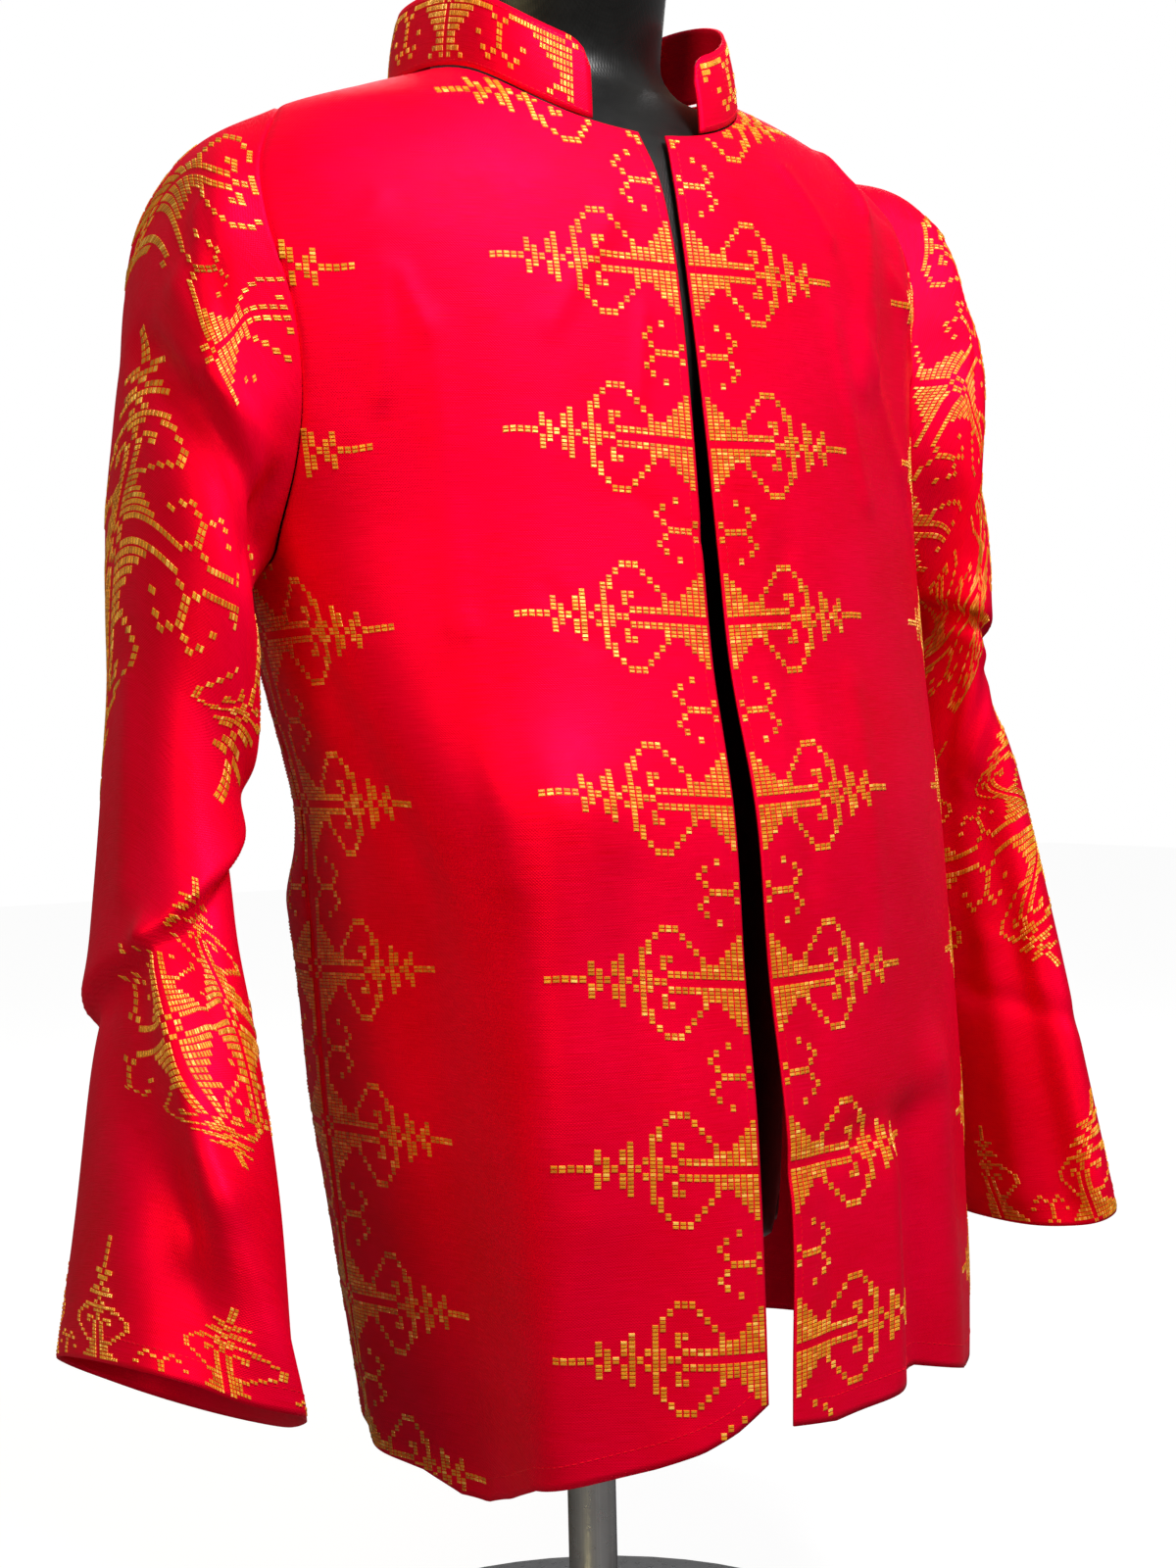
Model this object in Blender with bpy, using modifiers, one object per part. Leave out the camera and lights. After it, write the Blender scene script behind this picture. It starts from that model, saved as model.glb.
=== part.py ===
"""An open-fronted, long-sleeved jacket of brocade cloth (a barong) on a limbless dress form with a round-based stand.

Metres, +Z up. The jacket faces -Y, the wearer's right is at -X, and the stand's underside is at z = 0.
Each piece of cloth is a wall worked out from level sections of the jacket. A place on it is a turn round the form
in degrees (0 front, 90 wearer's right, 180 back, 270 wearer's left) and a height. Folds are rows of a table.
"""

import math
from collections import namedtuple

import bmesh
import bpy
import numpy as np

MM = 0.001

# How far the form's axis stands from the middle of the whole object's box.
AXIS_X = -8.0 * MM
AXIS_Y = 5.03 * MM

CLOTH = 1.6 * MM  # thickness of the cloth wall
SEAM = 0.3 * MM  # gap between two pieces at a seam
REST = 2.0 * MM  # gap between the smooth cloth and the form; its flat cells come nearer
NECK_EASE = 4.5 * MM  # how much further in the form lies at the neckline
EASE_FROM = 811 * MM  # height that the ease starts at
EASE_OVER = 30 * MM  # and over which it comes in

CHEST = 1168 * MM  # the jacket's measure round the chest
QUARTER = CHEST / 4  # from the front edge to the side seam
ARMPIT = 585 * MM  # height where the armhole starts
NECK_FRONT = 806 * MM  # height of the neckline's corner on each front edge
NECK_SIDE = 850 * MM  # height of the shoulder seam at the neck
NECK_BACK = 851 * MM  # height of the neckline behind
SHOULDER_TIP = 820 * MM  # height of the shoulder seam at the armhole
ARMHOLE_RIGHT = 34.0  # degrees that the armhole is cut into the right front
ARMHOLE_LEFT = 25.0  # and into the left front
ARMHOLE_BACK = 24.0  # and into the back

BODY_ROWS = 14  # rows of cells from the hem to the armpit
ARMHOLE_ROWS = 12  # and from there to the shoulder seam
NECKLINE_ROWS = 4  # of which these lie along the neckline
PANEL_COLUMNS = 14  # columns of cells across a quarter of the body
SLEEVE_ROWS = 27
FOLD_FADE = 0.05  # share of a sleeve over which its folds come in
TURN_STEP = 1.0  # degrees between the places that a normal is worked out from
HEIGHT_STEP = 2 * MM
SHARE_STEP = 0.004
COLLAR_COLUMNS = 36
COLLAR_ROWS = 3
COLLAR_HEIGHT = 40 * MM
COLLAR_SETBACK = 33 * MM  # from each front edge to the collar's end
COLLAR_CORNER = 13 * MM  # radius of the collar's upper front corners
COLLAR_LEAN = 6 * MM  # how far its upper edge leans in towards the neck

# Level sections of the cloth: half widths on the wearer's right and left, depths in front of and behind the widest
# line, where that line lies front to back, squareness of the right and left front corners (2 is an ellipse), and
# how far the right and left front edges lie from the middle.
Section = namedtuple(
    "Section", "height right left front back middle square_right square_left open_right open_left"
)
BODY = (
    Section(118 * MM, 94 * MM, 234 * MM, 170 * MM, 146 * MM, 0 * MM, 2.45, 1.75, 6.5 * MM, 7.0 * MM),
    Section(200 * MM, 107 * MM, 237 * MM, 170 * MM, 147 * MM, 0 * MM, 2.45, 1.75, 6.5 * MM, 9.0 * MM),
    Section(260 * MM, 116 * MM, 236 * MM, 168 * MM, 148 * MM, 0 * MM, 2.59, 1.75, 6.0 * MM, 12.5 * MM),
    Section(320 * MM, 125 * MM, 233 * MM, 164 * MM, 148 * MM, 0 * MM, 2.85, 1.80, 5.0 * MM, 12.5 * MM),
    Section(390 * MM, 131 * MM, 228 * MM, 156 * MM, 146 * MM, 0 * MM, 3.05, 1.85, 4.2 * MM, 10.0 * MM),
    Section(470 * MM, 144 * MM, 221 * MM, 150 * MM, 143 * MM, 0 * MM, 3.05, 1.90, 4.2 * MM, 8.5 * MM),
    Section(540 * MM, 164 * MM, 216 * MM, 134 * MM, 140 * MM, 0 * MM, 2.45, 1.95, 4.0 * MM, 6.5 * MM),
    Section(600 * MM, 180 * MM, 214 * MM, 126 * MM, 138 * MM, 0 * MM, 2.10, 1.95, 3.4 * MM, 6.0 * MM),
    Section(660 * MM, 198 * MM, 214 * MM, 119 * MM, 134 * MM, 0 * MM, 2.10, 1.95, 2.6 * MM, 5.0 * MM),
    Section(715 * MM, 214 * MM, 218 * MM, 112 * MM, 127 * MM, 0 * MM, 2.05, 1.95, 2.4 * MM, 3.5 * MM),
    Section(755 * MM, 221 * MM, 223 * MM, 105 * MM, 118 * MM, 0 * MM, 2.00, 1.95, 3.2 * MM, 3.2 * MM),
    Section(785 * MM, 208 * MM, 213 * MM, 97 * MM, 107 * MM, 1 * MM, 2.00, 1.95, 5.0 * MM, 5.0 * MM),
    Section(805 * MM, 186 * MM, 194 * MM, 89 * MM, 99 * MM, 3 * MM, 2.00, 2.00, 8.0 * MM, 8.0 * MM),
    Section(820 * MM, 163 * MM, 173 * MM, 83 * MM, 93 * MM, 6 * MM, 2.00, 2.00, 8.0 * MM, 8.0 * MM),
    Section(836 * MM, 119 * MM, 134 * MM, 78 * MM, 85 * MM, 13 * MM, 2.00, 2.00, 8.0 * MM, 8.0 * MM),
    Section(850 * MM, 80 * MM, 75 * MM, 72 * MM, 77 * MM, 20 * MM, 2.00, 2.00, 8.0 * MM, 8.0 * MM),
    Section(880 * MM, 75 * MM, 68 * MM, 69 * MM, 73 * MM, 21 * MM, 2.00, 2.00, 8.0 * MM, 8.0 * MM),
)
BACK_SQUARE = 2.25

# Height of the hem against the share of the way round, from the right front edge.
Hem = namedtuple("Hem", "share height")
HEM = (
    Hem(0.00, 190 * MM),
    Hem(0.015, 179 * MM),
    Hem(0.03, 171 * MM),
    Hem(0.05, 164 * MM),
    Hem(0.085, 154 * MM),
    Hem(0.10, 150 * MM),
    Hem(0.13, 132 * MM),
    Hem(0.155, 121 * MM),
    Hem(0.175, 120 * MM),
    Hem(0.20, 128 * MM),
    Hem(0.25, 132 * MM),
    Hem(0.30, 137 * MM),
    Hem(0.50, 148 * MM),
    Hem(0.75, 158 * MM),
    Hem(0.84, 164 * MM),
    Hem(0.90, 181 * MM),
    Hem(0.975, 174 * MM),
    Hem(1.00, 177 * MM),
)

# Folds of the body: from one place to another, as a distance round from the front edge (negative on the wearer's
# left) and a height, with the rise above the smooth section (negative in a trough) and half the fold's width.
Fold = namedtuple("Fold", "start_round start_height end_round end_height rise half_width")
BODY_FOLDS = (
    Fold(112 * MM, 130 * MM, 98 * MM, 470 * MM, 12 * MM, 27 * MM),
    Fold(186 * MM, 130 * MM, 188 * MM, 400 * MM, -11 * MM, 40 * MM),
    Fold(280 * MM, 130 * MM, 312 * MM, 430 * MM, 8 * MM, 28 * MM),
    Fold(240 * MM, 600 * MM, 178 * MM, 440 * MM, -4 * MM, 18 * MM),
    Fold(-118 * MM, 130 * MM, -114 * MM, 300 * MM, -9 * MM, 17 * MM),
    Fold(-78 * MM, 130 * MM, -84 * MM, 280 * MM, 5 * MM, 20 * MM),
    Fold(-158 * MM, 130 * MM, -146 * MM, 330 * MM, 6 * MM, 20 * MM),
    Fold(-150 * MM, 790 * MM, -128 * MM, 690 * MM, 3 * MM, 11 * MM),
    Fold(-188 * MM, 780 * MM, -176 * MM, 650 * MM, 3 * MM, 11 * MM),
    Fold(330 * MM, 130 * MM, 336 * MM, 420 * MM, 9 * MM, 22 * MM),
    Fold(384 * MM, 130 * MM, 376 * MM, 480 * MM, -9 * MM, 22 * MM),
    Fold(430 * MM, 130 * MM, 424 * MM, 520 * MM, 10 * MM, 22 * MM),
    Fold(480 * MM, 130 * MM, 470 * MM, 560 * MM, -8 * MM, 22 * MM),
    Fold(-330 * MM, 130 * MM, -338 * MM, 400 * MM, 9 * MM, 24 * MM),
    Fold(-384 * MM, 130 * MM, -380 * MM, 500 * MM, -9 * MM, 23 * MM),
    Fold(-436 * MM, 130 * MM, -428 * MM, 540 * MM, 9 * MM, 22 * MM),
)

# Stations down a sleeve, for a share of its length: how far its outer and inner lines lie from the middle and how
# high, where its centre lies front to back, half its width front to back, and how much higher its front line lies.
Station = namedtuple("Station", "share out out_height inside inside_height centre_y half_width front_up")
SLEEVE_RIGHT = (
    Station(0.00, 163 * MM, 820 * MM, 179 * MM, 585 * MM, 14 * MM, 54 * MM, 0 * MM),
    Station(0.06, 200 * MM, 800 * MM, 188 * MM, 573 * MM, 15 * MM, 60 * MM, 0 * MM),
    Station(0.13, 219 * MM, 762 * MM, 191 * MM, 560 * MM, 17 * MM, 65 * MM, 0 * MM),
    Station(0.21, 229 * MM, 711 * MM, 191 * MM, 545 * MM, 18 * MM, 68 * MM, 0 * MM),
    Station(0.31, 238 * MM, 645 * MM, 189 * MM, 519 * MM, 19 * MM, 69 * MM, 0 * MM),
    Station(0.40, 242 * MM, 584 * MM, 190 * MM, 492 * MM, 19 * MM, 61 * MM, 0 * MM),
    Station(0.46, 244 * MM, 545 * MM, 199 * MM, 478 * MM, 18 * MM, 53 * MM, 0 * MM),
    Station(0.54, 249 * MM, 492 * MM, 200 * MM, 452 * MM, 16 * MM, 56 * MM, 0 * MM),
    Station(0.62, 254 * MM, 440 * MM, 204 * MM, 413 * MM, 11 * MM, 63 * MM, 2 * MM),
    Station(0.72, 260 * MM, 382 * MM, 204 * MM, 366 * MM, 1 * MM, 73 * MM, 6 * MM),
    Station(0.86, 274 * MM, 302 * MM, 201 * MM, 284 * MM, -14 * MM, 82 * MM, 11 * MM),
    Station(1.00, 292 * MM, 228 * MM, 202 * MM, 182 * MM, -27 * MM, 88 * MM, 14 * MM),
)
SLEEVE_LEFT = (
    Station(0.00, 173 * MM, 820 * MM, 214 * MM, 585 * MM, 5 * MM, 56 * MM, 0 * MM),
    Station(0.06, 219 * MM, 817 * MM, 226 * MM, 572 * MM, 5 * MM, 61 * MM, 0 * MM),
    Station(0.13, 236 * MM, 781 * MM, 229 * MM, 559 * MM, 6 * MM, 67 * MM, 0 * MM),
    Station(0.21, 244 * MM, 728 * MM, 228 * MM, 545 * MM, 9 * MM, 71 * MM, 0 * MM),
    Station(0.31, 253 * MM, 662 * MM, 227 * MM, 520 * MM, 13 * MM, 72 * MM, 0 * MM),
    Station(0.41, 256 * MM, 592 * MM, 227 * MM, 490 * MM, 17 * MM, 70 * MM, 0 * MM),
    Station(0.47, 260 * MM, 553 * MM, 228 * MM, 473 * MM, 19 * MM, 68 * MM, 0 * MM),
    Station(0.57, 277 * MM, 490 * MM, 233 * MM, 438 * MM, 13 * MM, 68 * MM, 0 * MM),
    Station(0.70, 290 * MM, 406 * MM, 241 * MM, 385 * MM, 1 * MM, 69 * MM, 0 * MM),
    Station(0.85, 299 * MM, 320 * MM, 250 * MM, 306 * MM, -14 * MM, 72 * MM, -2 * MM),
    Station(1.00, 308 * MM, 240 * MM, 262 * MM, 220 * MM, -26 * MM, 75 * MM, 0 * MM),
)

# Folds of a sleeve: from one place to another, as a turn in degrees (0 outside, 90 front, 180 against the body) and
# a height, with the rise and half width of the fold. A lip stands proud above its line and is sunk below it.
SleeveFold = namedtuple("SleeveFold", "start_turn start_height end_turn end_height rise half_width lip")
RIGHT_FOLDS = (
    SleeveFold(-60, 372 * MM, 150, 470 * MM, 7 * MM, 24 * MM, True),
    SleeveFold(38, 405 * MM, 75, 307 * MM, 6 * MM, 15 * MM, False),
    SleeveFold(75, 307 * MM, 122, 190 * MM, 8 * MM, 16 * MM, False),
    SleeveFold(10, 385 * MM, 45, 290 * MM, -6 * MM, 17 * MM, False),
    SleeveFold(45, 290 * MM, 78, 200 * MM, -7 * MM, 18 * MM, False),
    SleeveFold(8, 700 * MM, 98, 598 * MM, -5 * MM, 14 * MM, False),
    SleeveFold(30, 722 * MM, 105, 640 * MM, 4 * MM, 14 * MM, False),
    SleeveFold(60, 722 * MM, 110, 680 * MM, -2.5 * MM, 16 * MM, False),
    SleeveFold(118, 650 * MM, 128, 580 * MM, -5 * MM, 15 * MM, False),
    SleeveFold(200, 560 * MM, 300, 660 * MM, -3 * MM, 19 * MM, False),
    SleeveFold(215, 470 * MM, 300, 400 * MM, -5 * MM, 14 * MM, False),
)
LEFT_FOLDS = (
    SleeveFold(15, 548 * MM, 150, 578 * MM, 4 * MM, 24 * MM, True),
    SleeveFold(35, 690 * MM, 110, 600 * MM, -4 * MM, 15 * MM, False),
    SleeveFold(55, 725 * MM, 112, 655 * MM, 3.5 * MM, 15 * MM, False),
    SleeveFold(70, 500 * MM, 95, 250 * MM, 5 * MM, 18 * MM, False),
    SleeveFold(120, 470 * MM, 130, 240 * MM, -5 * MM, 18 * MM, False),
    SleeveFold(200, 560 * MM, 285, 640 * MM, -2.5 * MM, 20 * MM, False),
    SleeveFold(230, 470 * MM, 300, 380 * MM, -5 * MM, 14 * MM, False),
)
SLEEVE_SQUARE = 2.2
SLEEVE_RADIUS = 60 * MM  # turns a fold's degrees into a distance round the sleeve
UNDERARM_START = 78.0  # degrees from the shoulder where the sleeve starts to lie outside the body's cloth
UNDERARM_BLEND = 25.0  # and the degrees over which it comes to do so
LIP_EDGE = 6 * MM  # half the breadth of the step at a lip
CAP_SHARE = 0.22  # share of the sleeve over which it eases out of the armhole's shape

# Level sections of the dress form below the shoulders. Above them it follows the cloth that rests on it.
FormSection = namedtuple("FormSection", "height half_width front back middle")
FORM = (
    FormSection(251 * MM, 92 * MM, 120 * MM, 110 * MM, 0 * MM),
    FormSection(300 * MM, 97 * MM, 121 * MM, 114 * MM, 0 * MM),
    FormSection(360 * MM, 104 * MM, 115 * MM, 109 * MM, 0 * MM),
    FormSection(430 * MM, 113 * MM, 107 * MM, 100 * MM, 0 * MM),
    FormSection(500 * MM, 125 * MM, 103 * MM, 106 * MM, 0 * MM),
    FormSection(570 * MM, 143 * MM, 103 * MM, 115 * MM, 0 * MM),
    FormSection(630 * MM, 168 * MM, 104 * MM, 121 * MM, 0 * MM),
)
FORM_JOINS_CLOTH = 700 * MM  # from this height up the form's section is the cloth's, less the wall and the rest gap
NECK = (
    FormSection(853 * MM, 65 * MM, 61 * MM, 63 * MM, 17 * MM),
    FormSection(862 * MM, 61 * MM, 58 * MM, 60 * MM, 13 * MM),
    FormSection(882 * MM, 60 * MM, 56 * MM, 58 * MM, 5 * MM),
    FormSection(912 * MM, 58 * MM, 56 * MM, 56 * MM, -4 * MM),
    FormSection(938 * MM, 57 * MM, 55 * MM, 55 * MM, -7 * MM),
    FormSection(947 * MM, 50 * MM, 48 * MM, 48 * MM, -7 * MM),
    FormSection(950 * MM, 36 * MM, 34 * MM, 34 * MM, -7 * MM),
)
ARM_PLATE = 198 * MM  # the form is cut flat at each arm, this far from the middle
FORM_SIDES = 44
FORM_RINGS = 26  # rings between the form's lower edge and the shoulder seam at the neck

BASE_RADIUS = 160 * MM
BASE_THICK = 12 * MM
BASE_EDGE = 3 * MM
POLE_RADIUS = 13 * MM
ROUND_SIDES = 48


def at(rows, place):
    """The table's columns at each place, on smooth curves through its rows; place may be an array."""
    table = np.array(rows, dtype=float)
    keys = table[:, 0]
    slopes = np.gradient(table, keys, axis=0)
    place = np.asarray(place, dtype=float)
    low = np.clip(np.searchsorted(keys, place, side="right") - 1, 0, len(keys) - 2)
    step = keys[low + 1] - keys[low]
    part = ((place - keys[low]) / step)[..., None]
    step = step[..., None]
    value = (
        table[low] * (1 + 2 * part) * (1 - part) ** 2
        + table[low + 1] * part**2 * (3 - 2 * part)
        + slopes[low] * step * part * (1 - part) ** 2
        - slopes[low + 1] * step * part**2 * (1 - part)
    )
    return type(rows[0])(*np.moveaxis(value, -1, 0))


def smooth_cloth(turn, height):
    """Points of the cloth without its folds, at turns in degrees and heights."""
    section = at(BODY, height)
    turn = np.mod(turn, 360.0)
    right = turn < 180
    front = (turn < 90) | (turn > 270)
    square = np.where(front, np.where(right, section.square_right, section.square_left), BACK_SQUARE)
    sine = np.sin(np.radians(turn))
    cosine = np.cos(np.radians(turn))
    across = np.where(right, section.right, section.left) * np.abs(sine) ** (2 / square)
    deep = np.where(front, section.front, section.back) * np.abs(cosine) ** (2 / square)
    x = np.where(right, -across, across)
    y = section.middle + np.where(front, -deep, deep)
    return np.stack(np.broadcast_arrays(x, y, height), axis=-1)


TURNS = np.linspace(0, 360, 721)


def girth(height):
    """Distance round the level section at a height, from the front, for each of TURNS."""
    ring = smooth_cloth(TURNS, np.full(TURNS.shape, height))
    return np.concatenate([[0], np.cumsum(np.linalg.norm(np.diff(ring, axis=0), axis=1))])


GIRTH_HEIGHTS = np.linspace(BODY[0].height, BODY[-1].height, 151)
GIRTHS = np.array([girth(height) for height in GIRTH_HEIGHTS])


def girth_at(height):
    """The row of GIRTHS for a height, between its two nearest."""
    place = np.clip((height - GIRTH_HEIGHTS[0]) / (GIRTH_HEIGHTS[1] - GIRTH_HEIGHTS[0]), 0, len(GIRTHS) - 1.001)
    low = int(place)
    return GIRTHS[low] * (1 - place + low) + GIRTHS[low + 1] * (place - low)


def turn_for(distance, height):
    """The turn at a distance round the level section from the front."""
    return float(np.interp(distance, girth_at(height), TURNS))


def round_at(turn, height):
    """Signed distances round from the front, positive on the wearer's right, for arrays of turns and heights."""
    result = np.empty(turn.shape)
    for index in np.ndindex(turn.shape):
        row = girth_at(height[index])
        distance = np.interp(turn[index] % 360, TURNS, row)
        result[index] = distance if distance < row[-1] / 2 else distance - row[-1]
    return result


def from_line(across, up, start, end):
    """Distance of each place from a line's own stretch, and on which side of it, positive above."""
    line = np.array(end) - np.array(start)
    length = math.hypot(*line)
    part = np.clip(((across - start[0]) * line[0] + (up - start[1]) * line[1]) / length**2, 0, 1)
    away = np.hypot(across - start[0] - part * line[0], up - start[1] - part * line[1])
    side = np.sign((up - start[1]) * line[0] - (across - start[0]) * line[1])
    return away, side


def body_rise(turn, height):
    """How far the folds lift the body's cloth at each place."""
    around = round_at(turn, height)
    rise = np.zeros(around.shape)
    for fold in BODY_FOLDS:
        away, _ = from_line(
            around, height, (fold.start_round, fold.start_height), (fold.end_round, fold.end_height)
        )
        rise += fold.rise * np.exp(-((away / fold.half_width) ** 2))
    return rise


def normals(surface, first, second, first_step, second_step):
    """Unit normals of surface(first, second), from points a step away each way."""
    along = surface(first + first_step, second) - surface(first - first_step, second)
    up = surface(first, second + second_step) - surface(first, second - second_step)
    normal = np.cross(up, along)
    return normal / np.linalg.norm(normal, axis=-1, keepdims=True)


def cloth_points(turn, height):
    """Points on the outside of the body's cloth, with its folds."""
    base = smooth_cloth(turn, height)
    return base + normals(smooth_cloth, turn, height, TURN_STEP, HEIGHT_STEP) * body_rise(turn, height)[..., None]


def body_surface(turn, height):
    """Outer points and unit normals of the body's cloth."""
    return cloth_points(turn, height), normals(cloth_points, turn, height, 1.5 * TURN_STEP, 1.5 * HEIGHT_STEP)


def even_row(start, end, columns):
    """Turns and heights of evenly spaced places on the cloth from one (turn, height) to another."""
    part = np.linspace(0, 1, 161)
    turn = start[0] + (end[0] - start[0]) * part
    height = start[1] + (end[1] - start[1]) * part
    steps = np.linalg.norm(np.diff(smooth_cloth(turn, height), axis=0), axis=1)
    length = np.concatenate([[0], np.cumsum(steps)])
    places = np.interp(np.linspace(0, length[-1], columns + 1), length, part)
    return start[0] + (end[0] - start[0]) * places, start[1] + (end[1] - start[1]) * places


def hem_height(share):
    return np.interp(share, [hem.share for hem in HEM], [hem.height for hem in HEM])


def neckline(part, behind):
    """Height and half width of the neckline, from the front (or back) middle at 0 to the shoulder seam at 1."""
    angle = part * math.pi / 2
    middle = NECK_BACK if behind else NECK_FRONT
    return middle + (NECK_SIDE - middle) * (1 - math.cos(angle)), math.sin(angle)


def neck_turn(part, behind, right):
    """The turn of the neckline's point, and its height."""
    height, spread = neckline(part, behind)
    section = at(BODY, height)
    half_width = at(BODY, NECK_SIDE).right * spread
    reach = float(section.right if right else section.left)
    square = BACK_SQUARE if behind else float(section.square_right if right else section.square_left)
    off_middle = math.degrees(math.asin(min(1.0, (half_width / reach) ** (square / 2))))
    if behind:
        off_middle = 180 - off_middle
    return (off_middle if right else 360 - off_middle), height


def armhole(part, behind, right):
    """The turn and height of the armhole's edge, from the armpit at 0 to the shoulder seam at 1."""
    angle = math.pi * (1 - part)
    height = (ARMPIT + SHOULDER_TIP) / 2 + (SHOULDER_TIP - ARMPIT) / 2 * math.cos(angle)
    low = turn_for(QUARTER, ARMPIT) if right else 360 - turn_for(girth_at(ARMPIT)[-1] - QUARTER, ARMPIT)
    middle = 90 + (low - 90) * (1 - part) ** 2
    front_cut = ARMHOLE_RIGHT if right else ARMHOLE_LEFT
    cut = (ARMHOLE_BACK if behind else -front_cut) * math.sin(angle)
    turn = middle + cut
    return (turn if right else 360 - turn), height


def middle_edge(part, behind, right):
    """Turn and height up the front edge, or up the middle of the back, and on along the neckline."""
    straight = 1 - NECKLINE_ROWS / ARMHOLE_ROWS
    if part > straight:
        return neck_turn((part - straight) / (1 - straight), behind, right)
    top = NECK_BACK if behind else NECK_FRONT
    height = ARMPIT + (top - ARMPIT) * part / straight
    return middle_turn(height, behind, right), height


def middle_turn(height, behind, right):
    total = girth_at(height)[-1]
    if behind:
        return turn_for(total / 2, height)
    section = at(BODY, height)
    return turn_for(float(section.open_right) if right else total - float(section.open_left), height)


def quarter_panel(behind, right):
    """Turns and heights of a quarter of the body, rows up from the hem and columns from the middle to the side."""
    rows = []
    for row in range(BODY_ROWS + ARMHOLE_ROWS + 1):
        if row < BODY_ROWS:
            turns, heights = [], []
            for column in range(PANEL_COLUMNS + 1):
                place = column / PANEL_COLUMNS
                share = 0.5 - 0.25 * place if behind else 0.25 * place
                low = hem_height(share if right else 1 - share)
                height = low + (ARMPIT - low) * row / BODY_ROWS
                total = girth_at(height)[-1]
                section = at(BODY, height)
                start = total / 2 if behind else float(section.open_right if right else section.open_left)
                distance = start + (QUARTER - start) * place
                turns.append(turn_for(distance if right else total - distance, height))
                heights.append(height)
            rows.append((turns, heights))
        else:
            part = (row - BODY_ROWS) / ARMHOLE_ROWS
            rows.append(even_row(middle_edge(part, behind, right), armhole(part, behind, right), PANEL_COLUMNS))
    turn = np.array([row[0] for row in rows])
    height = np.array([row[1] for row in rows])
    return turn, height


def trim(points, edges, gap):
    """Draws the named edges of a grid of points in by a gap, towards their neighbours."""
    moved = points.copy()
    views = {
        "first_column": (moved[:, 0], points[:, 1]),
        "last_column": (moved[:, -1], points[:, -2]),
        "last_row": (moved[-1], points[-2]),
    }
    for edge in edges:
        line, neighbour = views[edge]
        inward = neighbour - line
        line += gap * inward / np.linalg.norm(inward, axis=-1, keepdims=True)
    return moved


def material(name, colour, roughness, metallic=0.0):
    made = bpy.data.materials.new(name)
    made.use_nodes = True
    shader = made.node_tree.nodes["Principled BSDF"]
    shader.inputs["Base Color"].default_value = (*colour, 1)
    shader.inputs["Roughness"].default_value = roughness
    shader.inputs["Metallic"].default_value = metallic
    return made


def add_object(name, vertices, faces, finish):
    mesh = bpy.data.meshes.new(name)
    offset = np.array([AXIS_X, AXIS_Y, 0])
    mesh.from_pydata((np.asarray(vertices).reshape(-1, 3) + offset).tolist(), [], faces)
    mesh.validate()
    mesh.materials.append(finish)
    mesh.shade_smooth()
    mesh.set_sharp_from_angle(angle=math.radians(40))
    made = bpy.data.objects.new(name, mesh)
    COLLECTION.objects.link(made)
    return made


def cloth_wall(name, patches, finish):
    """A wall of cloth from patches, each a grid of outer points and their normals.

    A patch's rows run up and its columns to the left, seen from outside. Points that patches share are welded. The
    inner points lie a cloth's thickness inwards, each cell is two triangles across its shorter diagonal, and a rim
    closes every open edge.
    """
    index, points, inwards, outer_faces = {}, [], [], []

    def vertex(patch, row, column):
        grid, normal = patch
        column %= grid.shape[1]
        key = tuple(np.round(grid[row, column] / MM, 3))
        if key not in index:
            index[key] = len(points)
            points.append(grid[row, column])
            inwards.append(grid[row, column] - CLOTH * normal[row, column])
        return index[key]

    for *patch, closed in patches:
        rows, columns = patch[0].shape[:2]
        for row in range(rows - 1):
            for column in range(columns if closed else columns - 1):
                low = vertex(patch, row, column), vertex(patch, row, column + 1)
                high = vertex(patch, row + 1, column), vertex(patch, row + 1, column + 1)
                square = [low[0], high[0], high[1], low[1]]
                rising = np.linalg.norm(points[low[0]] - points[high[1]])
                if rising > np.linalg.norm(points[high[0]] - points[low[1]]):
                    square = square[1:] + square[:1]
                outer_faces += [square[:3], [square[0], square[2], square[3]]]
    count = len(points)
    edges = {(face[side - 1], face[side]) for face in outer_faces for side in range(3)}
    faces = outer_faces + [[count + place for place in reversed(face)] for face in outer_faces]
    faces += [[end, start, count + start, count + end] for start, end in edges if (end, start) not in edges]
    return add_object(name, points + inwards, faces, finish)


def front_panel(name, right, finish):
    """One front, from its open edge to the side seam."""
    turn, height = quarter_panel(False, right)
    if not right:
        turn, height = turn[:, ::-1], height[:, ::-1]
    outer, normal = body_surface(turn, height)
    outer = trim(outer, ("last_column" if right else "first_column", "last_row"), SEAM / 2)
    return cloth_wall(name, [(outer, normal, False)], finish)


def back_panel(name, finish):
    """The back, from the wearer's right side seam to the left one, as two halves welded below the neckline."""
    halves = []
    for right in (True, False):
        turn, height = quarter_panel(True, right)
        if right:
            turn, height = turn[:, ::-1], height[:, ::-1]
        outer, normal = body_surface(turn, height)
        outer = trim(outer, ("first_column" if right else "last_column", "last_row"), SEAM / 2)
        halves.append((outer, normal, False))
    return cloth_wall(name, halves, finish)


def armhole_ring(right):
    """Turns and heights round the armhole, from the shoulder down the front and up the back."""
    steps = range(ARMHOLE_ROWS)
    front = [armhole(1 - step / ARMHOLE_ROWS, False, right) for step in steps]
    back = [armhole(step / ARMHOLE_ROWS, True, right) for step in steps]
    return np.array(front + back).T


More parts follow.
